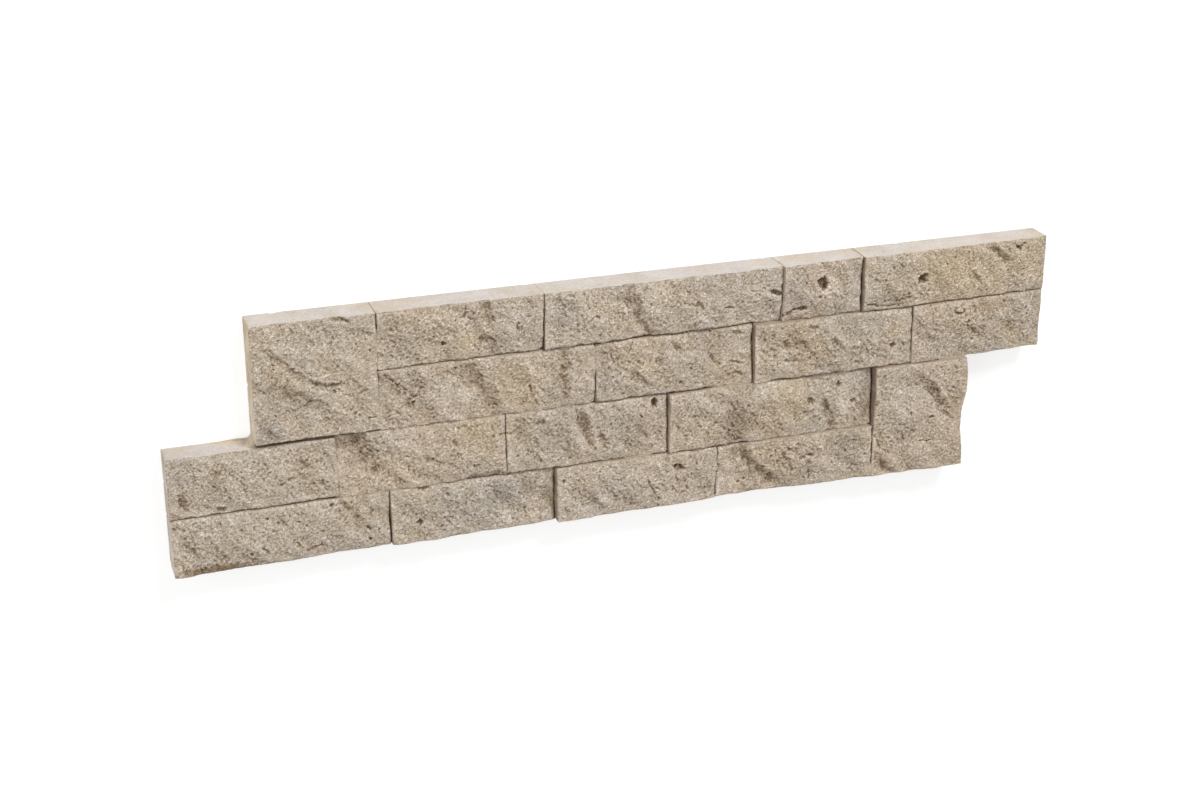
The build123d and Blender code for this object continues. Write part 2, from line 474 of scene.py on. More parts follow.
@dataclass(frozen=True)
class SplitTexture:
    """The relief of a split face: broad ripples, leaning flakes, lumps, grains and pocks.

    A ripple is its length, the direction that it travels in degrees and its height. A flake layer
    is the size and the height of its flakes. Lengths and heights are in millimetres.
    """

    ripples: tuple = ((46.0, 38.0, 0.50), (29.0, 62.0, 0.36), (19.0, 24.0, 0.30), (13.0, 47.0, 0.24))
    split_angle: float = -50.0
    stretch: float = 2.3
    lean: float = 0.30
    flakes: tuple = ((7.0, 0.26), (3.6, 0.32), (1.9, 0.33))
    lump_height: float = 0.24
    lump_size: float = 2.0
    grain_height: float = 0.55
    grain_size: float = 1.15
    pock_depth: float = 0.55
    pock_size: float = 2.6
    pock_share: float = 0.09

    def relief(self, noise: Noise, x: Array, y: Array) -> Array:
        """Work out the height of the flakes, lumps, grains and pocks.

        Args:
            noise: The stone's own noise.
            x: Positions along X, in panel millimetres.
            y: Positions along Y, in panel millimetres.

        Returns:
            Height above or below the smooth face, in millimetres.
        """
        turn = math.radians(self.split_angle)
        wander = 2.0 * noise.gradient(x, y, 14.0, 1)
        along = (x * math.cos(turn) + y * math.sin(turn)) / self.stretch
        across = y * math.cos(turn) - x * math.sin(turn) + wander
        flaked = 0.0 * x
        for order, (size, height) in enumerate(self.flakes):
            leaned = across + self.lean * size * noise.gradient(along, across, size, order + 2)
            flaked = flaked + height * noise.gradient(along, leaned, size, order + 2)
        busy = 0.60 + 0.75 * smoothstep(-0.4, 0.5, noise.gradient(x, y, 15.0, 5))
        lump = self.lump_height * noise.gradient(x, y, self.lump_size, 6)
        near, tone = noise.cells(x + 0.4 * wander, y, self.grain_size, 7)
        grain = self.grain_height * ((0.55 - near) + 0.8 * (tone - 0.5))
        warp = 0.9 * noise.gradient(x, y, 1.6, 10)
        hole, chance = noise.cells(1.2 * along + warp, across + 0.8 * warp, self.pock_size, 8)
        radius = 0.14 + 0.20 * chance / self.pock_share
        inside = 1.0 - smoothstep(0.6 * radius, 1.2 * radius, hole)
        pock = self.pock_depth * (chance < self.pock_share) * inside
        return busy * (flaked + lump) + grain - pock

    def broad(self, number: int, x: Array, y: Array) -> Array:
        """Work out the height of the broad ripples, which the solids share.

        Args:
            number: The stone's place in the order of laying.
            x: Positions along X from the panel's centre, in millimetres.
            y: Positions along Y from the panel's centre, in millimetres.

        Returns:
            Height above or below the smooth face, in millimetres.
        """
        height = 0.0 * x
        for order, (length, direction, rise) in enumerate(self.ripples):
            turn = math.radians(direction)
            across = x * math.cos(turn) + y * math.sin(turn)
            along = y * math.cos(turn) - x * math.sin(turn)
            phase = number * (2.4 + order)
            bend = 0.15 * length * np.sin(math.pi * along / length + phase)
            height = height + rise * np.sin(2.0 * math.pi * (across + bend) / length + phase)
        return height


@dataclass
class SplitStone:
    """One stone: sawn on its back and four sides, split on its face.

    The corners are its thickness at bottom left, bottom right, top left and top right. A scarp is a
    row of its crest, drop, run, recovery, lip, dirt_and_shade and fray, a ledge a short scarp's two
    ends, drop and run, a crack its points, width and depth, and a pit its centre, length, width,
    angle, depth and softness. A stain, or a patch of painted shade or light, is its centre, length,
    width, angle, strength and roughness, and a spot a small pit's centre and size. All of them are in
    panel millimetres.
    """

    node: str
    number: int
    corners: tuple
    belly: float
    tone: tuple
    scarps: tuple = ()
    ledges: tuple = ()
    cracks: tuple = ()
    pits: tuple = ()
    stains_and_painted_light: dict = field(default_factory=dict)
    spots: tuple = ()
    joints: tuple = ()
    end_wave: float = 0.0
    resin_end: bool = False
    pitch: float = 0.45
    wall_rows: int = 9
    wall_spread: float = 1.6
    arris_width: float = 1.1
    arris_drop: float = 0.32
    joint_drop: float = 0.42
    ledge_recovery: float = 4.0
    # Painted shade: in deep holes and cracks, and on the sides that face another stone, darker with soiling
    # where a joint stands open.
    hole_shade: float = 0.6
    joint_wall_shade: tuple = (0.60, 0.53, 0.455)
    open_joint_dirt_and_shade: tuple = (0.37, 0.305, 0.245)
    neighbour_reach: float = 3.4
    groove_width: float = 1.2
    deepest_chip: float = 0.9
    sharp_angle: float = 62.0
    top_gap: float = 0.02
    top_softness: float = 5.0
    texture: SplitTexture = SplitTexture()

    def __post_init__(self) -> None:
        """Read the stone's place from the frame, and turn the rows of numbers into marks."""
        self.left, self.right, self.low, self.high = PLACES[self.node]
        self.noise = Noise(self.number + 1)
        self.marks = [Scarp(paired(crest), *rest) for crest, *rest in self.scarps]
        for x0, y0, x1, y1, drop, run in self.ledges:
            self.marks.append(Scarp(((x0, y0), (x1, y1)), drop, run, self.ledge_recovery))
        for *line, width, depth in self.cracks:
            self.marks.append(Crack(paired(line), width, depth))
        self.marks += [Pit(*row) for row in self.pits]
        self.marks += [Pit(x, y, size, 0.75 * size, -50.0, 0.45 * size) for x, y, size in self.spots]
        self.patches = [Patch(tint, *row) for tint, rows in self.stains_and_painted_light.items() for row in rows]

    def face_height(self, x: Array, y: Array) -> Array:
        """Work out the thickness of the stone on its split face.

        Args:
            x: Positions along X, in panel millimetres.
            y: Positions along Y, in panel millimetres.

        Returns:
            Height above the back, in millimetres.
        """
        bottom_left, bottom_right, top_left, top_right = self.corners
        u = np.clip((x - self.left) / (self.right - self.left), 0.0, 1.0)
        v = np.clip((y - self.low) / (self.high - self.low), 0.0, 1.0)
        low = bottom_left * (1.0 - u) + bottom_right * u
        high = top_left * (1.0 - u) + top_right * u
        height = low * (1.0 - v) + high * v + 16.0 * self.belly * u * (1.0 - u) * v * (1.0 - v)
        right = self.right - self.end_inset(y)
        edge = np.minimum(np.minimum(x - self.left, right - x), np.minimum(y - self.low, self.high - y))
        rough = 0.55 + 0.45 * smoothstep(0.0, 6.0, edge)
        for patch in self.patches:
            rough = rough * (1.0 + patch.weight(x, y) * (patch.texture - 1.0))
        height = height + self.texture.broad(self.number, x - CENTRE_X, y - CENTRE_Y)
        height = height + rough * self.texture.relief(self.noise, x, y)
        ragged = self.ragged(x, y)
        for mark in self.marks:
            height = height - mark.apply(*ragged)
        broken = 0.15 + 1.2 * smoothstep(0.1, 0.6, self.noise.gradient(x, y, 6.0, 21))
        for joint in self.joints:
            opened = joint.openness(x, y, 1.0)
            height = height - self.joint_drop * opened
            broken = broken + 0.3 * opened
        worn = np.clip(1.0 - edge / (self.arris_width * (0.5 + broken)), 0.0, 1.0)
        height = height - self.arris_drop * broken * worn * worn
        limit = THICKEST - self.top_gap
        return limit - np.logaddexp(0.0, self.top_softness * (limit - height)) / self.top_softness

    def ragged(self, x: Array, y: Array) -> tuple:
        """Shift positions a little to and fro, so that no mark has a smooth outline.

        Args:
            x: Positions along X, in panel millimetres.
            y: Positions along Y, in panel millimetres.

        Returns:
            The shifted positions along X and along Y.
        """
        return (
            x + 0.5 * self.noise.gradient(x, y, 4.0, 41) + 0.3 * self.noise.gradient(x, y, 1.7, 42),
            y + 0.5 * self.noise.gradient(x, y, 4.0, 43) + 0.3 * self.noise.gradient(x, y, 1.7, 44),
        )

    def face_tint(self, x: Array, y: Array) -> Array:
        """Mix the stone's own tone with its stained and painted patches, and paint shade on scarp slopes and
        in deep holes.

        Args:
            x: Positions along X, in panel millimetres.
            y: Positions along Y, in panel millimetres.

        Returns:
            Factors on red, green and blue, one row for each position.
        """
        tint = np.tile(np.array(self.tone), (x.size, 1))
        for patch in self.patches:
            weight = patch.strength * patch.weight(x, y)[:, None]
            tint = tint * (1.0 + weight * (np.array(patch.tint.value) - 1.0))
        ragged = self.ragged(x, y)
        # Painted shade: scarp slopes darken, with soiling, and holes and cracks darken the deeper they are.
        for mark in self.marks:
            if isinstance(mark, Scarp):
                weight = mark.cover(*ragged)
            else:
                weight = self.hole_shade * np.clip((mark.apply(*ragged) - 0.8) / 1.5, 0.0, 1.0)
            tint = tint * (1.0 + weight[:, None] * (np.array(Tint.DARK.value) - 1.0))
        return tint

    def build(self) -> bpy.types.Object:
        """Mesh the stone: a fine grid for the face, rows of quads for the sides, one flat back.

        Returns:
            The stone as an object that rides on the body and replaces its node.
        """
        columns = max(8, round((self.right - self.left) / self.pitch))
        rows = max(8, round((self.high - self.low) / self.pitch))
        xs = np.linspace(self.left, self.right, columns + 1)
        ys = np.linspace(self.low, self.high, rows + 1)
        grid_x, grid_y = (part.ravel() for part in np.meshgrid(xs, ys))
        grid_x = grid_x - self.end_inset(grid_y) * (grid_x - self.left) / (self.right - self.left)
        grid_z = self.face_height(grid_x, grid_y)
        index = np.arange(grid_x.size).reshape(rows + 1, columns + 1)
        corners = [index[:-1, :-1], index[:-1, 1:], index[1:, 1:], index[1:, :-1]]
        quads = [np.stack(corners, axis=-1).reshape(-1, 4)]
        points = [np.stack([grid_x, grid_y, grid_z], axis=-1)]
        rim = np.concatenate([index[0, :-1], index[:-1, -1], index[-1, :0:-1], index[:0:-1, 0]])
        ring, start = rim, grid_x.size
        for row in range(1, self.wall_rows + 1):
            share = 1.0 - (row / self.wall_rows) ** self.wall_spread
            wall = np.stack([grid_x[rim], grid_y[rim], grid_z[rim] * share], axis=-1)
            points.append(self.dent_wall(wall, share))
            below = np.arange(start, start + rim.size)
            quads.append(np.stack([np.roll(ring, -1), ring, below, np.roll(below, -1)], axis=-1))
            ring, start = below, start + rim.size
        points, faces = np.concatenate(points), np.concatenate(quads)
        stone = new_piece(self.node + "_stone", points, faces.tolist() + [ring[::-1].tolist()])
        mesh = stone.data
        slots = np.full(len(mesh.polygons), Surface.SAWN.value, dtype=np.int32)
        slots[: quads[0].shape[0]] = Surface.SPLIT.value
        slots[-1] = Surface.BACK.value
        mesh.polygons.foreach_set("material_index", slots)
        mesh.polygons.foreach_set("use_smooth", np.ones(len(mesh.polygons), dtype=bool))
        self.paint(mesh, points, grid_z.reshape(rows + 1, columns + 1))
        mesh.set_sharp_from_angle(angle=math.radians(self.sharp_angle))
        mesh.update()
        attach(stone, BODY)
        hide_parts(self.node)
        return stone

    def end_inset(self, y: Array) -> Array:
        """Work out how far a wavy right end draws back from its furthest reach.

        Args:
            y: Positions along Y, in panel millimetres.

        Returns:
            The distance in millimetres, 0 for a stone with a straight end.
        """
        v = np.clip((y - self.low) / (self.high - self.low), 0.0, 1.0)
        level = 0.0 * y
        rough = 0.5 + 0.5 * self.noise.gradient(y, level, 5.0, 51)
        rough = rough + 0.2 * self.noise.gradient(y, level, 2.0, 52)
        wave = 1.0 - np.cos(2.0 * math.pi * (v - 0.8) / 0.8)
        return self.end_wave * (wave + 0.15 * np.clip(rough, 0.0, 1.0))

    def dent_wall(self, wall: Array, share: float) -> Array:
        """Chip a ring of the sawn sides inwards, most where the saw broke out at the back.

        Args:
            wall: The ring's points, in panel millimetres.
            share: The ring's height as a share of the stone's thickness, 0 at the back.

        Returns:
            The ring's points, moved inwards.
        """
        run = wall[:, 0] + 1.7 * wall[:, 1]
        rough = np.abs(self.noise.gradient(run, wall[:, 2], 5.0, 31))
        chipped = smoothstep(0.30, 0.75, self.noise.gradient(run, 0.0 * run, 9.0, 32))
        near_back = max(0.0, 1.0 - 3.5 * share) ** 2
        depth = np.minimum(0.10 * rough + (0.55 * chipped + 0.08) * near_back, self.deepest_chip)
        moved = wall.copy()
        for axis, low, high in ((0, self.left, self.right), (1, self.low, self.high)):
            place = wall[:, axis]
            moved[:, axis] += depth * ((place <= low + 1e-6) * 1.0 - (place >= high - 1e-6))
        return moved

    def paint(self, mesh: bpy.types.Mesh, points: Array, face: Array) -> None:
        """Store the stone's colour, with its painted shade and light, and how far the face lies below its
        neighbours, from which the material paints shade and highlight.

        Args:
            mesh: The stone's mesh.
            points: All its points, in panel millimetres.
            face: Heights of the split face, in rows and columns.
        """
        tint = np.ones((len(points), 4))
        tint[:, :3] = self.face_tint(points[:, 0], points[:, 1])
        side = points[face.size:]
        joined = self.beside_another(side[:, 0], side[:, 1])[:, None]
        bare = np.array(self.tone) ** 0.5 * self.coat(side)
        # Sides that face another stone get painted shade, with soiling where a joint is open; the outer
        # sides keep their sawn colour.
        tint[face.size:, :3] = np.where(joined, self.shade_and_soil_joint_walls(side), bare)
        mesh.attributes.new("tint", "FLOAT_COLOR", "POINT").data.foreach_set("color", tint.ravel())
        # How far each point lies below its neighbours; the split finish paints shade in hollow places and
        # highlight on raised ones from it.
        hollow = np.full(len(points), 0.5)
        deep = 0.9 * (blurred(face, 2) - face) + 0.35 * (blurred(face, 7) - face)
        hollow[: face.size] = np.clip(0.5 + deep, 0.0, 1.0).ravel()
        mesh.attributes.new("hollow", "FLOAT", "POINT").data.foreach_set("value", hollow)

    def beside_another(self, x: Array, y: Array) -> Array:
        """Tell which points of the sides face another stone across a joint.

        Args:
            x: Positions along X, in panel millimetres.
            y: Positions along Y, in panel millimetres.

        Returns:
            True or False for each point.
        """
        across = np.minimum(np.abs(x - self.left), np.abs(x - self.right))
        along = np.minimum(np.abs(y - self.low), np.abs(y - self.high))
        out_x = np.sign(x - 0.5 * (self.left + self.right)) * (across < along)
        out_y = np.sign(y - 0.5 * (self.low + self.high)) * (across >= along)
        out_x, out_y = x + self.neighbour_reach * out_x, y + self.neighbour_reach * out_y
        inside = np.zeros(x.shape, dtype=bool)
        for node, (left, right, low, high) in PLACES.items():
            if node != self.node:
                inside |= (out_x > left) & (out_x < right) & (out_y > low) & (out_y < high)
        return inside

    def shade_and_soil_joint_walls(self, side: Array) -> Array:
        """Darken the sides within the joints with painted shade, and with soiling too where a joint stands
        open.

        Args:
            side: The points of the sides, in panel millimetres.

        Returns:
            Factors on red, green and blue, one row for each point.
        """
        opened = np.zeros(len(side))
        for joint in self.joints:
            opened = np.maximum(opened, joint.openness(side[:, 0], side[:, 1], self.groove_width))
        amount = smoothstep(0.2, 1.8, opened)[:, None]
        return np.array(self.joint_wall_shade) * (1.0 - amount) + np.array(self.open_joint_dirt_and_shade) * amount

    def coat(self, side: Array) -> Array:
        """Blotch the sawn sides, most on the left end.

        Args:
            side: The points of the sides, in panel millimetres.

        Returns:
            Factors on red, green and blue, one row for each point.
        """
        end = side[:, 0] < self.left + 1.0
        run = side[:, 0] + side[:, 1]
        up = side[:, 2]
        blotch = self.noise.gradient(run, up, 16.0, 61) + 0.6 * self.noise.gradient(run, up, 7.0, 62)
        cover = np.where(end, 0.22, 0.07) * blotch
        worn = np.array((Tint.RESIN if self.resin_end else Tint.CHALK).value)
        return np.where(end[:, None], worn, 1.0) * (1.0 + cover[:, None] * np.array(Tint.BLOTCH.value))

    def dress(self, stone: bpy.types.Object, finishes: dict) -> None:
        """Give the stone its split, sawn and back finishes.

        Args:
            stone: The stone's object.
            finishes: A material for each surface.
        """
        for surface in Surface:
            stone.data.materials.append(finishes[surface])


@dataclass
class ResinBonds:
    """The resin in the joints, dusted flush with the faces, sunk where the joints are open."""

    node: str
    stones: dict
    joints: tuple
    widest: float = 3.0
    shortest: float = 4.0
    overlap: float = 0.02
    pitch: float = 0.5
    bed: float = 1.0
    least_height: float = 2.0
    groove_width: float = 1.2
    bead_width: float = 6.0
    bead_height: float = 4.6
    bead_top: float = 15.0
    bead_rows: int = 24
    smear_length: float = 26.0
    smear_depth: float = 1.0

    def runs(self) -> list:
        """Find all the joints.

        Returns:
            Each joint's start, end, the two stones that it parts and its width.
        """
        found = []
        stones = list(self.stones.values())
        for index, stone in enumerate(stones):
            for other in stones[index + 1:]:
                found += self.shared_edge(stone, other)
        return found

    def shared_edge(self, one: SplitStone, other: SplitStone) -> list:
        """Find the joint between two stones.

        Args:
            one: A stone.
            other: Another stone.

        Returns:
            A list with the joint's start point, end point, the two stones and its width, or an empty list.
        """
        for first, second in ((one, other), (other, one)):
            if abs(second.left - first.right) < self.widest:
                low, high = max(first.low, second.low), min(first.high, second.high)
                if high - low > self.shortest:
                    x = 0.5 * (first.right + second.left)
                    return [((x, low), (x, high), first, second, second.left - first.right)]
            if abs(second.low - first.high) < self.widest:
                left, right = max(first.left, second.left), min(first.right, second.right)
                if right - left > self.shortest:
                    y = 0.5 * (first.high + second.low)
                    return [((left, y), (right, y), first, second, second.low - first.high)]
        return []

    def bond(self, start: tuple, end: tuple, first: SplitStone, second: SplitStone, width: float) -> tuple:
        """Shape one joint's resin as a thin wall with an uneven top.

        Args:
            start: The joint's first end, in panel millimetres.
            end: The joint's other end.
            first: The stone on one side.
            second: The stone on the other side.
            width: The joint's width, in millimetres.

        Returns:
            The wall's points in panel millimetres, its faces and each point's darkness from 0 to 1, soiling
            and painted shade that grow as the resin sinks deeper.
        """
        steps = max(4, round(math.dist(start, end) / self.pitch))
        share = np.linspace(0.0, 1.0, steps + 1)
        x = start[0] + (end[0] - start[0]) * share
        y = start[1] + (end[1] - start[1]) * share
        half = 0.5 * width + self.overlap
        # Turned so that the faces of the wall point outwards, whichever way the joint runs.
        dx, dy = (0.0, -half) if end[1] - start[1] < 1e-6 else (half, 0.0)
        lower = np.minimum.reduce([
            stone.face_height(x + way * dx, y + way * dy) for stone in (first, second) for way in (-1.0, 1.0)
        ])
        sunk = 0.03 + 1.5 * max(0.0, width - 0.8) + 0.0 * x
        for joint in self.joints:
            sunk = np.maximum(sunk, joint.openness(x, y, self.groove_width))
        top = np.maximum(lower - sunk, self.bed + self.least_height)
        rings = []
        for px, py, pz in zip(x, y, top):
            corners = ((-1, self.bed), (1, self.bed), (1, pz), (-1, pz))
            rings.append([(px + side * dx, py + side * dy, z) for side, z in corners])
        # Resin sunk deep in an open joint is coloured dark: painted shade and soiling.
        return self.sleeve(rings, smoothstep(0.1, 0.8, sunk))

    def bead(self) -> tuple:
        """Shape the resin squeezed out into the inner corner of the left step.

        Returns:
            The bead's points in panel millimetres, its faces and -1 for each point, as it is bare resin.
        """
        corner_x, corner_y = self.stones["tall_stone_left"].left, self.stones["lower_stone_1"].high
        rings = []
        for z in np.linspace(self.bed, self.bead_top, self.bead_rows):
            swell = 0.78 + 0.30 * float(Noise(77).gradient(np.array([z]), np.array([0.0]), 4.0)[0])
            ring = [(corner_x + 0.3, corner_y - 0.3, z)]
            for turn in np.linspace(0.0, 0.5 * math.pi, 7):
                hollow = swell * (1.0 - 0.45 * math.sin(2.0 * turn))
                across, up = self.bead_width * math.cos(turn), self.bead_height * math.sin(turn)
                ring.append((corner_x - hollow * across, corner_y + hollow * up, z))
            rings.append(ring)
        return self.sleeve(rings, -np.ones(len(rings)))

    def smear(self) -> tuple:
        """Shape the resin that ran along the sawn top of the lower stone towards the inner corner.

        Returns:
            The smear's points in panel millimetres, its faces and -1 for each point, as it is bare resin.
        """
        corner_x, top = self.stones["tall_stone_left"].left, self.stones["lower_stone_1"].high
        rings = []
        for share in np.linspace(0.0, 1.0, 2 * self.bead_rows):
            x = corner_x - self.smear_length * (1.0 - share)
            uneven = Noise(78).gradient(np.array([x, x]), np.array([0.0, 20.0]), 5.0)
            thick = self.smear_depth * (0.25 + 0.75 * share) * (1.0 + 0.5 * float(uneven[0]))
            upper = 4.0 + 3.5 * share + 1.6 * float(uneven[1])
            rings.append([
                (x, top - 0.9, self.bed), (x, top - 0.9, upper + 0.4), (x, top + 0.5 * thick, upper),
                (x, top + thick, 0.6 * upper), (x, top + 0.9 * thick, self.bed),
            ])
        return self.sleeve(rings, -np.ones(len(rings)))

    def sleeve(self, rings: list, dirt_and_shade: Array) -> tuple:
        """Join rings of points into a closed shape.

        Args:
            rings: The rings in order, each with as many points.
            dirt_and_shade: How dark each ring is with soiling and painted shade, -1 for bare resin.

        Returns:
            All the points, the faces and each point's darkness from soiling and painted shade.
        """
        size = len(rings[0])
        faces = []
        for row in range(len(rings) - 1):
            for corner in range(size):
                at, after = size * row + corner, size * row + (corner + 1) % size
                faces.append((at, at + size, after + size, after))
        total = size * len(rings)
        faces.append(tuple(range(size)))
        faces.append(tuple(range(total - 1, total - size - 1, -1)))
        return [point for ring in rings for point in ring], faces, np.repeat(dirt_and_shade, size)

    def build(self) -> bpy.types.Object:
        """Mesh the bonds, the bead and the smear.

        Returns:
            The resin as one object that rides on the body and replaces its node.
        """
        points, faces, dirt_and_shade = [], [], []
        shapes = [self.bond(*run) for run in self.runs()] + [self.bead(), self.smear()]
        for more_points, more_faces, more_dirt_and_shade in shapes:
            faces += [tuple(len(points) + corner for corner in one) for one in more_faces]
            points += more_points
            dirt_and_shade.append(more_dirt_and_shade)
        resin = new_piece("resin_bonds", np.array(points), faces)
        # Darkness of the resin from soiling and painted shade; -1 marks bare resin.
        layer = resin.data.attributes.new("dirt_and_shade", "FLOAT", "POINT")
        layer.data.foreach_set("value", np.concatenate(dirt_and_shade))
        resin.data.update()
        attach(resin, BODY)
        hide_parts(self.node)
        return resin


class NodeBuilder:
    """Short calls for putting together the nodes of a material or a world."""

    def __init__(self, owner: bpy.types.ID) -> None:
        """Start without any nodes.

        Args:
            owner: The material or world that the nodes are for.
        """
        owner.use_nodes = True
        self.tree = owner.node_tree
        self.tree.nodes.clear()

    def add(self, kind: str, inputs: dict | None = None, **settings: str) -> bpy.types.Node:
        """Add a node.

        Args:
            kind: Blender's name of the node, without ShaderNode in front.
            inputs: Numbers, colours or sockets for its inputs, by name or by place.
            settings: The node's own settings.

        Returns:
            The node.
        """
        node = self.tree.nodes.new("ShaderNode" + kind)
        for name, value in settings.items():
            setattr(node, name, value)
        for key, value in (inputs or {}).items():
            if isinstance(value, Socket):
                self.tree.links.new(value, node.inputs[key])
            else:
                node.inputs[key].default_value = value
        return node

    def surface(self, inputs: dict) -> None:
        """Add the main shader and the output.

        Args:
            inputs: Numbers, colours or sockets for the shader's inputs.
        """
        shader = self.add("BsdfPrincipled", inputs)
        self.add("OutputMaterial", {"Surface": shader.outputs[0]})

    def place(self) -> Socket:
        """Read the coordinates in object space."""
        return self.add("TexCoord").outputs["Object"]

    def stretched(self, scale: tuple, angle: float = 0.0) -> Socket:
        """Turn object space about Z and stretch it.

        Args:
            scale: Factors along the turned X, Y and Z.
            angle: Turn about Z, in degrees.

        Returns:
            The mapped coordinates.
        """
        inputs = {"Vector": self.place(), "Angle": math.radians(angle)}
        turned = self.add("VectorRotate", inputs, rotation_type="Z_AXIS")
        return self.add("VectorMath", {0: turned.outputs[0], 1: scale}, operation="MULTIPLY").outputs[0]

    def noise(self, size_mm: float, detail: float, rough: float, space: Socket | None = None) -> Socket:
        """Add a noise texture.

        Args:
            size_mm: Size of its lumps, in millimetres.
            detail: How many finer layers it has.
            rough: How strong the finer layers are.
            space: Coordinates to use in place of plain object space.

        Returns:
            The noise value, about 0.5 on average.
        """
        inputs = {"Scale": 1.0 / (size_mm * MM), "Detail": detail, "Roughness": rough}
        return self.add("TexNoise", {"Vector": space or self.place(), **inputs}).outputs["Fac"]

    def ramp(self, source: Socket, stops: list) -> Socket:
        """Add a colour ramp.

        Args:
            source: The value that picks the colour.
            stops: Pairs of position and colour or grey value.

        Returns:
            The colour socket.
        """
        node = self.add("ValToRGB", {0: source})
        points = node.color_ramp.elements
        while len(points) < len(stops):
            points.new(0.5)
        for point, (position, colour) in zip(points, stops):
            point.position = position
            point.color = (*colour, 1.0) if isinstance(colour, tuple) else (colour, colour, colour, 1.0)
        return node.outputs[0]

    def mix(self, first: Socket, second: Socket | tuple, amount: float | Socket = 1.0,
            blend: str = "MULTIPLY") -> Socket:
        """Mix two colours, by multiplying them unless another way is named.

        Args:
            first: The colour that is kept at amount 0.
            second: The colour that it is mixed with.
            amount: How much of the mixture shows.
            blend: Blender's name of the way to mix.

        Returns:
            The mixed colour.
        """
        node = self.add("Mix", data_type="RGBA", blend_type=blend, clamp_result=False)
        for name, value in (("Factor", amount), ("A", first), ("B", second)):
            if isinstance(value, Socket):
                self.tree.links.new(value, node.inputs[name])
            else:
                node.inputs[name].default_value = value
        return node.outputs["Result"]

    def maths(self, operation: str, first: Socket, second: Socket | float) -> Socket:
        """Return the result of a math node, given Blender's name of the operation and its two values."""
        return self.add("Math", {0: first, 1: second}, operation=operation).outputs[0]

    def attribute(self, name: str, output: str = "Fac") -> Socket:
        """Read a named layer of the mesh, as a value or as a colour."""
        return self.add("Attribute", attribute_name=name).outputs[output]

    def bump(self, height: Socket, depth_mm: float, strength: float = 1.0,
             under: Socket | None = None) -> Socket:
        """Add a bump node.

        Args:
            height: The height pattern.
            depth_mm: Height of the pattern from 0 to 1, in millimetres.
            strength: How strongly it tilts the surface.
            under: A normal that it adds to.

        Returns:
            The bumped normal.
        """
        inputs = {"Height": height, "Distance": depth_mm * MM, "Strength": strength}
        if under is not None:
            inputs["Normal"] = under
        return self.add("Bump", inputs).outputs[0]


@dataclass(frozen=True)
class SplitFinish:
    """The split face: sugary limestone, mottled beige, browner where it is darker, with painted shade where
    the face lies low and painted highlight where it stands up.
    """

    name: str = "split_stone_face"
    base: tuple = (0.585, 0.490, 0.388)
    grey: tuple = (0.558, 0.484, 0.401)
    warm: tuple = (0.594, 0.488, 0.369)
    split_angle: float = 50.0
    split_stretch: tuple = (0.38, 1.0, 1.0)
    cloud_size: float = 34.0
    streak_size: float = 9.0
    mottle_size: float = 3.2
    grain_size: float = 0.95
    grain_height: float = 0.34
    grit_size: float = 1.0
    grit_height: float = 0.85
    roughness: float = 0.93

    def shade(self, value: float) -> tuple:
        """Return a tone of the stone as factors: brown where it is dark, greyer where it is pale."""
        return (value ** 0.86, value, value ** 1.22)

    def material(self) -> bpy.types.Material:
        """Build the finish's nodes.

        Returns:
            The material.
        """
        shade = self.shade
        material = bpy.data.materials.new(self.name)
        build = NodeBuilder(material)
        along = build.stretched(self.split_stretch, self.split_angle)
        clouds = build.noise(self.cloud_size, 3.0, 0.55)
        colour = build.ramp(clouds, [(0.30, self.grey), (0.50, self.base), (0.70, self.warm)])
        streaks = build.noise(self.streak_size, 4.0, 0.62, along)
        streaks = build.ramp(streaks, [(0.28, shade(0.86)), (0.52, 1.0), (0.76, shade(1.09))])
        colour = build.mix(colour, streaks)
        mottle = build.noise(self.mottle_size, 3.0, 0.6, along)
        mottle = build.ramp(mottle, [(0.28, shade(0.82)), (0.52, 1.0), (0.76, shade(1.10))])
        colour = build.mix(colour, mottle)
        grains = build.add("TexVoronoi", {"Scale": 1.0 / (self.grain_size * MM), "Vector": build.place()})
        speckle = [(0.0, shade(0.42)), (0.20, shade(0.84)), (0.65, shade(1.08)), (1.0, shade(1.48))]
        colour = build.mix(colour, build.ramp(grains.outputs["Color"], speckle))
        # Painted shade where the face lies below its neighbours and painted highlight where it stands above
        # them, from the hollow layer.
        hollow_shade_and_highlight = [(0.15, shade(1.14)), (0.50, 1.0), (0.75, shade(0.78)), (1.0, shade(0.50))]
        colour = build.mix(colour, build.ramp(build.attribute("hollow"), hollow_shade_and_highlight))
        colour = build.mix(colour, build.attribute("tint", "Color"))
        normal = build.bump(build.noise(self.grit_size, 3.0, 0.72), self.grit_height)
        normal = build.bump(grains.outputs["Distance"], self.grain_height, 1.0, normal)
        build.surface({
            "Base Color": colour, "Roughness": self.roughness, "Specular IOR Level": 0.25, "Normal": normal,
        })
        return material


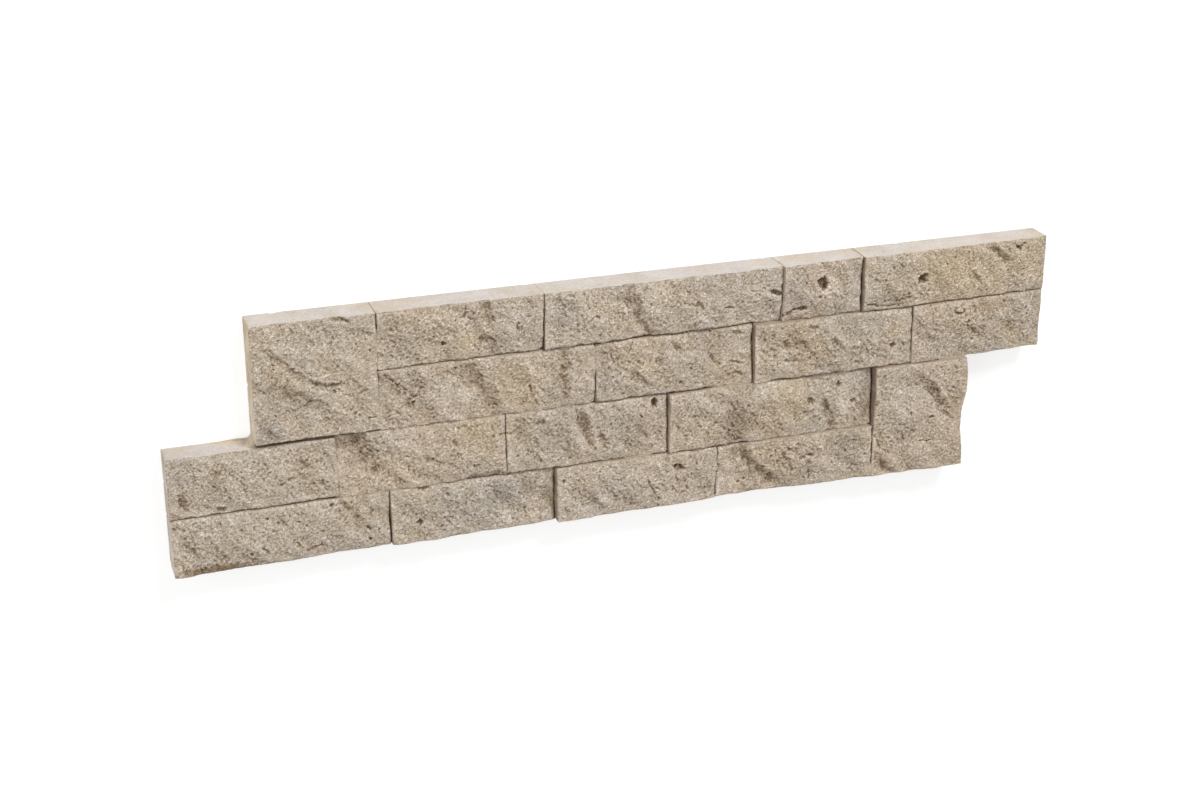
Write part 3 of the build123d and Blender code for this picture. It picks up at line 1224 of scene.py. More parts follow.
@dataclass(frozen=True)
class SawnFinish:
    """A sawn side: pale, chalky, with faint saw lines and small open pores."""

    name: str
    base: tuple = (0.668, 0.615, 0.566)
    warm: tuple = (0.650, 0.565, 0.475)
    roughness: float = 0.85
    line_spacing: float = 1.6
    line_stretch: tuple = (0.03, 1.0, 1.0)
    cloud_size: float = 22.0
    grit_size: float = 2.2
    pore_size: float = 2.6
    pore_share: float = 0.6
    pore_depth: float = 0.35

    def material(self) -> bpy.types.Material:
        """Build the finish's nodes.

        Returns:
            The material.
        """
        material = bpy.data.materials.new(self.name)
        build = NodeBuilder(material)
        colour = build.ramp(build.noise(self.cloud_size, 3.0, 0.55), [(0.36, self.warm), (0.56, self.base)])
        grit = build.ramp(build.noise(self.grit_size, 4.0, 0.7), [(0.30, 0.82), (0.52, 1.0), (0.72, 1.10)])
        colour = build.mix(colour, grit)
        pores = build.ramp(build.noise(self.pore_size, 2.0, 0.5), [(0.24, 0.50), (0.31, 1.0)])
        colour = build.mix(colour, pores, self.pore_share)
        colour = build.mix(colour, build.attribute("tint", "Color"))
        lines = build.noise(self.line_spacing, 1.0, 0.5, build.stretched(self.line_stretch))
        normal = build.bump(lines, 0.10, 0.5)
        normal = build.bump(build.noise(0.9, 2.0, 0.6), 0.12, 0.6, normal)
        normal = build.bump(pores, self.pore_depth, 0.6, normal)
        build.surface({
            "Base Color": colour, "Roughness": self.roughness, "Specular IOR Level": 0.3, "Normal": normal,
        })
        return material


@dataclass(frozen=True)
class ResinFinish:
    """Cured resin: honey yellow in the bead, dusted with stone in the joints, dark where they gape with
    soiling and painted shade.
    """

    name: str = "cured_resin"
    bare: tuple = (0.64, 0.55, 0.40)
    dusted: tuple = (0.55, 0.46, 0.355)
    gap_dirt_and_shade: tuple = (0.20, 0.143, 0.094)
    cloud_size: float = 3.0
    ripple_size: float = 1.5
    ripple_height: float = 0.2
    roughness: float = 0.55

    def material(self) -> bpy.types.Material:
        """Build the finish's nodes.

        Returns:
            The material.
        """
        material = bpy.data.materials.new(self.name)
        build = NodeBuilder(material)
        dirt_and_shade = build.attribute("dirt_and_shade")
        # Deep resin in open joints turns dark: soiling and painted shade.
        colour = build.ramp(dirt_and_shade, [(0.0, self.dusted), (0.7, self.gap_dirt_and_shade)])
        bead = build.maths("LESS_THAN", dirt_and_shade, -0.5)
        colour = build.mix(colour, (*self.bare, 1.0), bead, "MIX")
        clouds = build.ramp(build.noise(self.cloud_size, 3.0, 0.6), [(0.35, 0.88), (0.65, 1.06)])
        colour = build.mix(colour, clouds)
        normal = build.bump(build.noise(self.ripple_size, 3.0, 0.6), self.ripple_height, 0.6)
        build.surface({"Base Color": colour, "Roughness": self.roughness, "Normal": normal})
        return material


@dataclass(frozen=True)
class FloorFinish:
    """A white sweep that keeps the panel's shadow."""

    name: str = "white_sweep"
    base: float = 0.45
    lift: float = 0.68

    def material(self) -> bpy.types.Material:
        """Build the finish's nodes, with a lift that only the camera and mirrors see.

        Returns:
            The material.
        """
        material = bpy.data.materials.new(self.name)
        build = NodeBuilder(material)
        path = build.add("LightPath").outputs
        seen = build.maths("MAXIMUM", path["Is Camera Ray"], path["Is Glossy Ray"])
        seen = build.maths("MAXIMUM", seen, path["Is Transmission Ray"])
        build.surface({
            "Base Color": (self.base, self.base, self.base, 1.0), "Emission Color": WHITE,
            "Emission Strength": build.maths("MULTIPLY", seen, self.lift),
            "Roughness": 1.0, "Specular IOR Level": 0.0,
        })
        return material


@dataclass
class Studio:
    """Floor, soft lamps, pale surroundings and the camera."""

    camera_at: tuple = (-0.3985, 0.49485, 1.20004)
    camera_towards: tuple = (-0.01804, 0.00223, 0.01910)
    camera_roll: float = -0.537
    focal_length: float = 65.78
    key_at: tuple = (0.70, 2.05, 1.45)
    key_size: float = 0.80
    key_power: float = 45.0
    fill_at: tuple = (-2.0, 0.5, 1.25)
    fill_size: float = 1.6
    fill_power: float = 21.0
    world_strength: float = 0.49
    world_colour: tuple = (1.0, 0.985, 0.965, 1.0)
    floor_size: float = 8.0
    floor_gap: float = 0.0003

    def floor(self) -> None:
        """Lay the sweep under the panel."""
        half = self.floor_size / 2
        mesh = bpy.data.meshes.new("floor")
        corners = [(x * half, y * half, -self.floor_gap) for x, y in ((-1, -1), (1, -1), (1, 1), (-1, 1))]
        mesh.from_pydata(corners, [], [(0, 1, 2, 3)])
        mesh.materials.append(FloorFinish().material())
        floor = bpy.data.objects.new("floor", mesh)
        bpy.context.collection.objects.link(floor)

    def lamp(self, name: str, at: tuple, size: float, power: float) -> None:
        """Hang a square soft lamp that faces the panel.

        Args:
            name: The lamp's name.
            at: Where it hangs, in metres.
            size: Length of its sides, in metres.
            power: Its power, in watts.
        """
        data = bpy.data.lights.new(name, "AREA")
        data.shape = "SQUARE"
        data.size = size
        data.energy = power
        lamp = bpy.data.objects.new(name, data)
        lamp.location = at
        lamp.rotation_euler = (-Vector(at)).to_track_quat("-Z", "Y").to_euler()
        bpy.context.collection.objects.link(lamp)

    def surroundings(self) -> None:
        """Light the panel evenly from all round, white where a camera sees past the floor."""
        world = bpy.data.worlds.new("studio")
        bpy.context.scene.world = world
        build = NodeBuilder(world)
        light = build.add("Background", {"Strength": self.world_strength, "Color": self.world_colour})
        seen = build.add("Background", {"Color": WHITE})
        path = build.add("LightPath").outputs
        either = build.maths("MAXIMUM", path["Is Camera Ray"], path["Is Transmission Ray"])
        mixed = build.add("MixShader", {0: either, 1: light.outputs[0], 2: seen.outputs[0]})
        build.add("OutputWorld", {0: mixed.outputs[0]})

    def camera(self) -> None:
        """Set the camera at the photograph's angle to the panel."""
        at, towards = Vector(self.camera_at), Vector(self.camera_towards)
        back = (at - towards).normalized()
        right = Vector((0.0, 1.0, 0.0)).cross(back).normalized()
        right = Matrix.Rotation(math.radians(self.camera_roll), 3, back) @ right
        data = bpy.data.cameras.new("camera")
        data.sensor_fit = "HORIZONTAL"
        data.lens = self.focal_length
        camera = bpy.data.objects.new("camera", data)
        turned = Matrix((right, back.cross(right), back)).transposed().to_4x4()
        camera.matrix_world = Matrix.Translation(at) @ turned
        bpy.context.collection.objects.link(camera)
        bpy.context.scene.camera = camera

    def build(self) -> None:
        """Set up the whole studio."""
        self.floor()
        self.lamp("key_lamp", self.key_at, self.key_size, self.key_power)
        self.lamp("fill_lamp", self.fill_at, self.fill_size, self.fill_power)
        self.surroundings()
        self.camera()
        bpy.context.scene.view_settings.view_transform = "Standard"


def open_joints() -> tuple:
    """List the stretches where the joints stand open.

    Each joint is keyed by its place across its length, and each stretch is its start, end, depth and
    reach, all in panel millimetres.

    Returns:
        The open stretches, level ones first.
    """
    level = {
        113.8: (
            (127, 229, 0.9, 1), (229, 262, 2.4, 1.4), (262, 276, 2.6, 1.8), (276, 363, 2.3, 1.1),
            (363, 436, 0.6, 1), (437, 475, 1.4, 1), (478, 562, 1.1, 0.9),
        ),
        75.2: (
            (54, 98, 2.4, 1.2), (98, 116, 1.6, 1), (128, 260, 0.4, 1), (261, 336, 1.6, 1),
            (301, 311, 2.6, 1.2), (377, 446, 2.2, 1.1), (447, 470, 0.8, 1), (470, 490, 0.5, 1),
        ),
        35.7: (
            (0, 74, 1.6, 1), (74, 97, 2.4, 1.1), (99, 180, 0.3, 1), (182, 205, 2.8, 1.6),
            (205, 235, 1.8, 1), (236, 278, 0.9, 1), (299, 336, 1.3, 1), (338, 359, 3.4, 1.5),
            (362, 446, 0.4, 1),
        ),
    }
    upright = {
        127: ((142, 147.5, 2.4, 1), (98, 110, 0.3, 1)),
        229: ((116, 138, 1.9, 1), (138, 148, 0.6, 1)),
        382: ((117, 128, 0.7, 1), (128, 136, 1.2, 1), (137, 150, 0.4, 0.9)),
        436: ((115, 150, 2.3, 1.1),),
        261: ((76, 94, 1.6, 1),),
        364: ((77, 98, 1.7, 1), (99, 112.5, 2.5, 1.2)),
        471: ((84, 96, 1, 1), (97, 111, 1.9, 1)),
        204: ((40, 75, 1.4, 1),),
        308: ((37, 72, 1.7, 0.9),),
        446.5: ((38, 74, 2.6, 1), (11, 36, 2.4, 1)),
        131: ((22, 34, 0.6, 1), (1, 21, 2.2, 1)),
        235: ((1, 35, 1.7, 1),),
        340.5: ((3, 18, 2, 1), (27, 35, 0.6, 1)),
    }
    found = [OpenJoint((a, y), (b, y), *rest) for y, rows in level.items() for a, b, *rest in rows]
    found += [OpenJoint((x, a), (x, b), *rest) for x, rows in upright.items() for a, b, *rest in rows]
    return tuple(found)


def top_stones() -> list:
    """List the stones of the top course, with the tall stone on its left.

    Returns:
        The stones, left to right.
    """
    return [
        SplitStone(
            "tall_stone_left", 16, (19.5, 18.5, 21, 21), 1, (1, 1, 0.99),
            scarps=(
                ((108, 110.5, 100, 110, 93, 111, 86, 115, 80, 120, 75, 124, 69, 131.5, 60, 136.5), 0.9,
                 1.7, 12, 0.25, 0.25, 1.4),
                ((77, 121, 74.5, 125, 69, 130), 0.7, 1.5, 2, 0.1, 0.3, 1.3),
                ((106, 109.5, 99, 110.4, 93, 109.8, 88, 113.5), 0.6, 1.6, 2, 0.1, 0.3, 1.3),
                ((112, 88, 100, 93, 93, 100, 85, 106, 75, 108.5, 67, 113, 55, 117), 0.8, 5, 6, 0.05, 0.5),
            ),
            ledges=((68, 79, 62, 86, 0.8, 2.4),),
            cracks=(
                (92, 100, 97, 95, 1.6, 0.9), (110, 91, 115, 87, 1.3, 0.8), (121, 84, 125, 84, 1.1, 0.9),
            ),
            pits=((103.5, 149.5, 10, 5, -18, 1.8, 0.6), (110, 147, 6, 2, -30, 1, 0.5)),
            stains_and_painted_light={
                Tint.DARK: ((78, 105, 34, 13, -38, 0.32, 1.3),),
                Tint.OLIVE: ((70, 120, 24, 13, -40, 0.5),),
                Tint.PALE: ((70, 119, 16, 9, -40, 1), (114, 128, 26, 36, 0, 0.15, 0.75)),
                Tint.GREY: ((61, 82, 20, 14, 0, 0.8),),
            },
            spots=(
                (101, 104, 2.4), (123, 127, 2), (107, 108.5, 1.4), (72, 110, 1.8), (112.5, 88.5, 1.8),
                (115, 132, 1.6), (84, 92, 1.6), (66, 122, 1.6), (93, 137, 1.5), (66, 93, 1.6),
            ),
            resin_end=True,
        ),
        SplitStone(
            "top_stone_1", 12, (19.8, 17.5, 21, 21), 1, (1, 1, 1),
            scarps=(
                ((200, 135.5, 198, 142, 196, 149), 1.4, 5, 4, 0.2, 0.55),
                ((203.5, 118.5, 198.5, 125, 191, 131), 1.6, 5.5, 5, 0.2, 0.55),
            ),
            cracks=(
                (178, 138, 180.5, 143, 181, 148, 1.5, 1), (213.5, 121, 212, 133, 1.3, 0.8),
                (217, 122, 215, 131, 1.2, 0.7),
            ),
            pits=((167, 126, 2.9, 2.6, 0, 1.9),),
            stains_and_painted_light={
                Tint.GREY: ((143, 136, 34, 28, 0, 0.38, 1.15),),
                Tint.DARK: ((195, 143, 8, 14, 12, 0.25, 1.2), (196, 124, 8, 14, 40, 0.45, 1.2)),
                Tint.PALE: ((183, 126, 13, 10, -40, 1, 0.8), (208, 133, 14, 16, 0, 1.1, 0.8)),
                Tint.OLIVE: ((183, 126, 13, 10, -40, 0.8),),
            },
            spots=(
                (136, 138, 2.2), (161, 131, 1.7), (213, 133, 1.6), (145, 119, 1.5), (152, 142, 1.5),
                (222, 142, 1.6), (187, 139, 1.6),
            ),
        ),
        SplitStone(
            "top_stone_2", 13, (20.5, 16.5, 21.5, 20.5), 1.5, (1.01, 1.02, 1.04),
            scarps=(((303, 117, 298.5, 122, 294.5, 128, 291, 137, 286.5, 149.5), 2.2, 7, 9, 0.3, 0.05),),
            ledges=((331, 129, 327, 136, 0.8, 2.2),),
            cracks=(
                (256, 138, 254, 148, 1.6, 1.1), (250, 123, 249, 128, 1.3, 0.8),
                (329, 130, 313, 135, 1.3, 0.7),
            ),
            pits=(
                (262, 132, 3, 2, -40, 1.3), (347.5, 127, 6.5, 1.8, -10, 1.1),
                (378.5, 133, 7.5, 3.4, -20, 2.4),
            ),
            stains_and_painted_light={
                Tint.GREY: ((241, 138, 15, 16, 0, 0.8, 1.15),),
                # Painted shade on the scarp's slope, which faces away from the light.
                Tint.DARK: ((285.5, 138, 22, 8, -70, 0.55, 1.2),),
                Tint.PALE: (
                    # The first is painted light that lifts the upper part of the scarp's shaded slope.
                    (293, 125, 11, 7, -50, 2.2, 1.1), (301, 142, 12, 15, -50, 1.3, 0.7),
                    (345, 136, 42, 22, 0, 0.4, 0.8), (246, 121, 26, 10, 0, 0.7, 0.8),
                ),
            },
            spots=(
                (302, 141.5, 1.6), (314, 138, 1.6), (270, 121, 1.8), (361, 141, 1.5), (339, 119, 1.6),
                (369, 124, 1.5), (240, 128, 1.5),
            ),
        ),
        SplitStone(
            "top_stone_3", 14, (21, 17, 22.3, 19.5), 0.8, (1.01, 1, 1),
            cracks=(
                (411, 133.5, 414.5, 131, 1.8, 1.4), (382.5, 118, 387, 118.3, 2.2, 2.8),
                (389, 120.5, 394, 121.2, 398, 120.8, 2.2, 3),
            ),
            pits=((409, 136, 8.6, 6.2, -40, 4.4), (390, 115.5, 16, 8, 0, 1.3, 0.5)),
            stains_and_painted_light={
                Tint.GREY: ((391, 135, 18, 26, 0, 0.6, 0.9),),
                Tint.BROWN: ((409, 124, 10, 10, 0, 0.3),),
            },
            spots=((397, 138, 1.9), (407, 127.5, 2), (424, 127, 1.5), (418, 143, 1.5), (396, 128, 1.4)),
        ),
        SplitStone(
            "top_stone_4", 15, (21, 16.5, 22, 19), 1, (1, 0.99, 0.96),
            scarps=(((539, 137.5, 533.5, 142.5, 526, 149), 2.1, 3.6, 3, 0.4, 0.34, 0.5),),
            ledges=((519, 127, 512, 133, 0.8, 2),),
            cracks=(
                (473.5, 134.5, 480.5, 127.5, 1.7, 1.5), (474.5, 128.5, 479.5, 134, 1.5, 1.3),
                (440, 118.5, 450, 117, 460, 116, 1.5, 1.3), (450, 120, 460, 119, 469, 121, 1.4, 1),
                (540, 147, 543.5, 145, 547.5, 147, 1.7, 1.7), (543.5, 145, 545, 142.5, 1.6, 1.5),
            ),
            pits=((477, 131.5, 6.2, 6, 0, 2.8, 0.4),),
            stains_and_painted_light={
                Tint.DARK: ((454, 120, 34, 15, 0, 0.38, 1.1),),
                Tint.OLIVE: ((516, 131, 84, 34, 0, 0.55),),
                Tint.PALE: (
                    (471, 145.5, 12, 8, 0, 1.7, 0.7), (450, 146, 26, 8, 0, 1.1, 0.8),
                    (553, 123, 8, 9, 0, 1.2, 0.7),
                ),
                Tint.BROWN: ((490, 117, 24, 6, 0, 0.5),),
            },
            spots=(
                (456, 141, 2.2), (517, 128, 2), (467, 123, 2), (451, 133, 1.8), (487, 141, 1.5),
                (508, 146, 1.6), (523, 119, 1.7), (548, 130, 1.5),
            ),
        ),
    ]


def upper_stones() -> list:
    """List the stones of the upper course.

    Returns:
        The stones, left to right.
    """
    return [
        SplitStone(
            "upper_stone_1", 8, (18.3, 17.8, 19.5, 18.5), 1, (0.98, 0.97, 0.96),
            scarps=(
                ((150, 89, 144, 100, 133, 110), 1, 5, 6, 0.05, 0.22),
                ((203, 78, 199, 91, 194, 100, 187, 108, 180, 114), 1.3, 8.5, 8, 0.1, 0.35),
                ((246.5, 77, 247, 95, 247.5, 113), 2, 6, 4.5, 0.3, 0.22, 0.5),
            ),
            cracks=(
                (148, 90, 145, 98, 137, 105, 131, 110, 2, 1.1), (155, 98, 147, 105, 1.9, 1),
                (224, 80, 219, 92, 1.6, 1),
            ),
            stains_and_painted_light={
                Tint.GREY: ((147, 100, 38, 20, -48, 0.45, 1.4),),
                Tint.DARK: (
                    (137, 106, 11, 10, -45, 0.12), (185, 105, 20, 11, -42, 0.45, 1.2),
                    (196, 89, 24, 11, -70, 0.32, 1.2),
                ),
                Tint.PALE: ((171, 87, 26, 22, -30, 1.7, 0.7), (255, 95, 11, 34, 0, 0.5, 0.6)),
                Tint.OLIVE: ((212, 95, 32, 28, -45, 0.5),),
                Tint.BROWN: ((210, 98, 18, 16, 0, 0.25), (242, 97, 8, 32, 2, 0.4, 1.2)),
            },
            spots=(
                (174, 109, 2.3), (177.5, 110, 2), (136, 106, 2), (143, 97, 2), (148, 91, 2.2),
                (161, 93, 1.6), (133, 84, 1.6), (197, 86, 1.6), (229, 103, 1.6),
            ),
        ),
        SplitStone(
            "upper_stone_2", 9, (18.8, 17.2, 18.5, 15.5), 1.6, (0.95, 0.95, 0.95),
            scarps=(
                ((318, 103, 312, 109), 1.5, 2.6, 3, 0.2, 0.5),
                ((341, 92, 335, 100), 1.1, 2.4, 3, 0.1, 0.45), ((296, 84, 288, 93), 0.9, 3, 5),
            ),
            cracks=((283, 105, 285, 111, 1.6, 1),),
            pits=(
                (302, 97, 6, 4, -45, 0.9, 0.6), (354, 109, 7.5, 2.4, -20, 1.2, 0.5),
                (352.5, 90, 8, 2, -12, 1.1, 0.5), (354.5, 82.5, 5.5, 2, -10, 1.1, 0.5),
            ),
            stains_and_painted_light={
                Tint.DARK: ((268, 109, 16, 9, 0, 0.4, 1.2),),
                Tint.GREY: ((269, 92, 17, 26, 0, 0.3, 1.3),),
                Tint.PALE: ((270, 89, 13, 12, 0, 0.9), (354, 95, 14, 18, 0, 0.7)),
                Tint.OLIVE: ((300, 88, 30, 12, -40, 0.4, 1.1),),
                Tint.BROWN: ((338, 106, 22, 12, -45, 0.35, 1.2),),
            },
            spots=(
                (289, 98, 2.2), (300, 97, 2), (272, 91, 1.8), (284, 88, 1.8), (316, 82, 1.8),
                (336, 112, 1.7), (342, 90.5, 2), (267, 104, 1.6), (327, 108, 1.6),
            ),
        ),
        SplitStone(
            "upper_stone_3", 10, (20, 19, 21.5, 19), 1, (0.98, 0.98, 0.97),
            ledges=(
                (402, 97, 395, 102, 1.1, 2.2), (389, 97, 384, 103, 0.9, 2.2), (424, 93, 418, 100, 1, 2.4),
            ),
            cracks=((385, 88, 395, 87, 1.7, 1.2), (428, 91, 436, 90, 1.5, 0.9)),
            pits=(
                (403, 108, 7, 2.6, -8, 1, 0.5), (440, 86, 22, 10, 0, 0.7, 0.8),
                (458.5, 88.5, 3.2, 4, 0, 1.7, 0.4), (433, 81, 3.5, 2.2, 0, 1.1, 0.4),
            ),
            stains_and_painted_light={
                Tint.BROWN: ((396, 99, 50, 22, -40, 0.6, 1.3),),
                Tint.GREY: ((442, 86, 28, 12, 0, 0.6, 1.1),),
                Tint.OLIVE: ((460, 100, 18, 20, 0, 0.6),),
                Tint.PALE: ((456, 101, 26, 20, 0, 0.9, 0.85),),
            },
            spots=(
                (371, 103, 2.2), (377.5, 92, 2), (406, 87, 2), (445, 83, 1.8), (432, 104, 1.5),
                (414, 82, 1.6), (392, 109, 1.5), (454, 106, 1.5),
            ),
        ),
        SplitStone(
            "upper_stone_4", 11, (20.5, 15, 20.5, 16.5), 1.6, (0.97, 0.96, 0.95),
            scarps=(((521, 90, 516, 93, 512, 98), 1.2, 2.4, 3),),
            ledges=((521, 103, 515, 110, 1, 2.4), (547, 91, 542, 97, 1, 2.4)),
            cracks=(
                (500.5, 107.5, 503, 105, 506, 105.2, 508.3, 107, 1.7, 1.7),
                (501.5, 109, 504, 110.3, 507.5, 110, 1.4, 1.2),
            ),
            pits=((485, 90, 7, 4, -30, 0.8, 0.7), (517, 92, 12, 8, 0, 0.8, 0.8)),
            stains_and_painted_light={
                Tint.BROWN: ((527, 108, 28, 10, 0, 0.7, 1.2), (512, 97, 28, 22, -40, 0.4, 1.35)),
                Tint.OLIVE: ((540, 86, 24, 14, -40, 0.5),),
            },
            spots=(
                (510, 99.5, 2.2), (516, 93, 2), (513, 87, 2.4), (529, 92, 2), (545, 94, 1.9), (536, 109, 2),
                (484, 91, 1.8), (527, 98, 1.7), (552, 103, 1.7), (478, 103, 1.5),
            ),
        ),
    ]


def lower_stones() -> list:
    """List the stones of the lower course, with the tall stone on its right.

    Returns:
        The stones, left to right.
    """
    return [
        SplitStone(
            "lower_stone_1", 4, (19, 18.2, 18.8, 17.2), 1.2, (0.97, 0.98, 0.99),
            ledges=((97, 43, 91, 50, 0.9, 2.4), (85, 59, 80, 66, 0.8, 2.6)),
            cracks=((66, 49, 72, 52, 1.8, 1.1), (60, 58, 57, 65, 1.5, 0.8)),
            pits=((8.5, 46, 4.5, 9, 12, 1.1, 0.5), (31, 38.5, 5, 3, 0, 1.6, 0.4)),
            stains_and_painted_light={
                Tint.RUST: ((8, 46, 6, 10, 12, 0.65), (2, 39, 8, 5, 0, 0.7)),
                Tint.GREY: ((8, 46, 7, 12, 12, 0.65), (7, 63, 10, 14, 0, 0.5)),
                Tint.DARK: ((27, 57, 12, 14, 0, 0.45), (82, 63, 18, 16, 0, 0.22, 1.2)),
                Tint.PALE: ((27, 71.5, 54, 6, 0, 0.6, 0.7),),
            },
            spots=(
                (43, 55, 1.6), (57, 47, 1.6), (83, 62, 2), (86, 47, 1.6), (51, 66, 1.7), (20, 65, 1.5),
                (94, 47, 1.7), (6, 51, 1.6),
            ),
        ),
        SplitStone(
            "lower_stone_2", 5, (18.2, 18, 16.5, 18), 1.2, (0.99, 0.98, 0.97),
            scarps=(
                ((134, 51, 128, 57, 123, 66, 119, 76), 1.9, 8, 6, 0.2, 0.45, 0.7),
                ((143, 39, 135, 47), 0.9, 3, 5, 0.1, 0.35),
            ),
            ledges=((165, 50, 155, 57, 0.9, 3),),
            cracks=(
                (176, 50, 172, 62, 2, 0.9), (197, 62, 195, 70, 1.4, 0.9), (200, 62.5, 205, 62.5, 1.8, 1.4),
            ),
            pits=((118.5, 62, 4, 3, -45, -0.8, 0.9), (193, 37.3, 22, 4, 0, 1.2, 0.6)),
            stains_and_painted_light={
                Tint.DARK: ((117, 64, 28, 14, -60, 0.45, 1.45), (108, 71, 17, 10, 0, 0.8, 1.2)),
                Tint.PALE: (
                    # The second is painted light that lifts the shaded slopes of the scarps beside it.
                    (150, 64, 26, 14, 0, 0.3, 0.8), (131, 45, 16, 12, -45, 1.1), (180, 43, 14, 8, 0, 0.6),
                ),
                Tint.OLIVE: ((187, 62, 32, 22, -45, 0.45),),
                Tint.GREY: ((178, 44, 26, 12, 0, 0.25, 1.1),),
            },
            spots=(
                (158, 53, 2.2), (196, 62, 2), (174, 52, 1.7), (175, 70, 1.8), (143, 48, 1.7),
                (160, 69, 1.6), (184, 45, 1.7), (137, 68, 1.5), (130, 42, 1.5),
            ),
        ),
        SplitStone(
            "lower_stone_3", 6, (18, 16.8, 18, 16.6), 1.2, (0.97, 0.97, 0.98),
            scarps=(((262, 48, 260.5, 54, 258.5, 61, 256, 71), 2.3, 5, 3, 0.4, 0.22, 0.5),),
            ledges=(
                (229, 41, 223, 48, 0.9, 2.2), (272, 47, 264, 57, 0.9, 2.4), (286, 43, 279, 52, 1, 2.6),
                (296, 47, 289, 56, 0.9, 2.4),
            ),
            cracks=((203, 62.5, 207, 62.5, 1.8, 1.4), (250, 65, 249, 73, 1.4, 0.9)),
            pits=(
                (252, 51, 16, 5, -58, -0.7, 0.9), (299.5, 69.5, 6.2, 3.8, 82, 3.6),
                (226, 67.5, 5, 3.6, 0, 1.2, 0.4), (223, 53, 3, 6, 0, 0.9, 0.6),
            ),
            stains_and_painted_light={
                Tint.GREY: (
                    (213, 66, 13, 15, 0, 0.75, 1.2), (236, 58, 22, 22, 0, 0.55),
                    (283, 55, 36, 20, -40, 0.3, 1.2),
                ),
                Tint.OLIVE: ((213, 66, 16, 16, 0, 0.8),),
                # Painted shade on the scarp's slope, which faces away from the light.
                Tint.DARK: ((253.5, 64, 7, 13, -25, 0.75, 0.9),),
                Tint.PALE: ((252, 50, 16, 6, -58, 1.3, 0.7),),
            },
            spots=(
                (235, 64, 1.8), (271, 60, 1.8), (211, 47, 1.7), (276, 68, 1.7), (244, 41, 1.6),
                (291, 62, 1.8), (304, 53, 1.5), (212, 58, 1.8),
            ),
        ),
        SplitStone(
            "lower_stone_4", 7, (20, 17, 20, 16.5), 1.2, (0.95, 0.95, 0.95),
            scarps=(((423, 39, 418.5, 49, 415, 57), 1.4, 4, 4, 0.3, 0.55),),
            ledges=((369, 53, 360, 58, 0.8, 2.4),),
            cracks=((320, 44, 313, 53, 1.6, 0.8), (330, 50, 321, 62, 1.6, 0.8)),
            pits=(
                (356, 51, 28, 24, -25, 1.3, 0.9), (447.5, 56, 11, 46, 0, 1.7, 0.9),
                (354, 38.5, 6, 2.5, 0, 1.2, 0.4), (403, 58, 5.5, 3.4, -30, 1.8, 0.4),
                (423.5, 66, 3, 3.4, 10, 1.6, 0.5), (433.5, 54, 3.6, 3, 0, 1.4, 0.4),
            ),
            stains_and_painted_light={
                Tint.DARK: (
                    (353, 49, 24, 26, -20, 0.55, 1.3), (418, 46, 6, 18, -15, 0.4),
                    # Painted shadow that the proud tall stone casts along this stone's right end.
                    (441.5, 55, 9, 42, 0, 0.45),
                ),
                Tint.GREY: ((355, 52, 20, 20, 0, 0.25),),
                Tint.PALE: (
                    (358, 56, 12, 10, 0, 0.6), (370, 67, 12, 17, -60, 1.5, 0.7), (385, 66, 16, 10, 0, 0.6),
                    (427, 58, 9, 32, 0, 2.4, 0.8), (322, 55, 30, 36, -40, 0.5, 1.1),
                ),
                Tint.OLIVE: ((387, 58, 34, 34, 0, 0.4),),
                Tint.BROWN: ((375, 44, 22, 9, 0, 0.8),),
            },
            spots=(
                (322, 49, 1.6), (341, 62, 1.8), (348, 46, 2), (364, 44, 1.8), (377, 66, 1.5),
                (392, 47, 1.5), (415, 70, 1.5), (331, 71, 1.6), (437, 65, 1.6),
            ),
        ),
        SplitStone(
            "tall_stone_right", 17, (19, 19.3, 22.3, 21.8), 0.5, (1, 0.985, 0.97),
            scarps=(
                ((502, 41, 498, 47, 494.5, 53, 490, 59.5, 485, 64, 478, 70.5), 2.5, 5.5, 6, 0.6, 0.3, 0.3),
                ((504, 33, 500, 37.5, 495, 41), 0.8, 1.8, 3, 0.2, 0.3),
                ((466, 1.5, 458, 7.5, 452, 15, 449, 19), 1.1, 4, 4, 0.1, 0.5),
            ),
            cracks=(
                (489, 50, 482, 56.5, 474, 62.5, 1.6, 0.9), (496, 44, 491, 51, 487, 57, 1.3, 0.8),
                (475, 28, 465, 35, 1.6, 0.9), (458, 15, 450, 22, 1.6, 0.9), (452, 20, 448, 28, 1.5, 0.9),
                (480, 21, 487, 20, 1.6, 1.3),
            ),
            pits=((486.5, 37, 4, 2, 0, 1, 0.5), (448, 51, 2.5, 4, 0, 1.5, 0.4)),
            stains_and_painted_light={
                Tint.GREY: ((465, 27, 16, 16, 0, 0.6, 1.1),),
                Tint.PALE: (
                    (480, 16.5, 15, 12, 0, 1.1, 0.7), (504, 24, 10, 15, 0, 0.9, 0.6),
                    (464, 50, 26, 24, -40, 0.9, 0.9), (483, 60, 10, 6, -50, 1),
                    # Painted highlight along the big scarp's crest.
                    (496, 51, 30, 2.5, -58, 1.2, 0.8),
                ),
                Tint.DARK: (
                    # All but the first are painted shade on the big scarp's slope, below its crest.
                    (455, 11, 16, 9, -50, 0.45), (489, 53, 30, 8, -55, 0.15, 1.6),
                    (493, 47, 11, 6, -55, 0.3),
                ),
            },
            spots=(
                (472, 41, 2.6), (488, 37, 1.6), (458, 60, 1.6), (497, 12, 1.6), (504, 60, 1.6),
                (492, 71, 1.5), (470, 8, 1.6),
            ),
            end_wave=1.3,
        ),
    ]


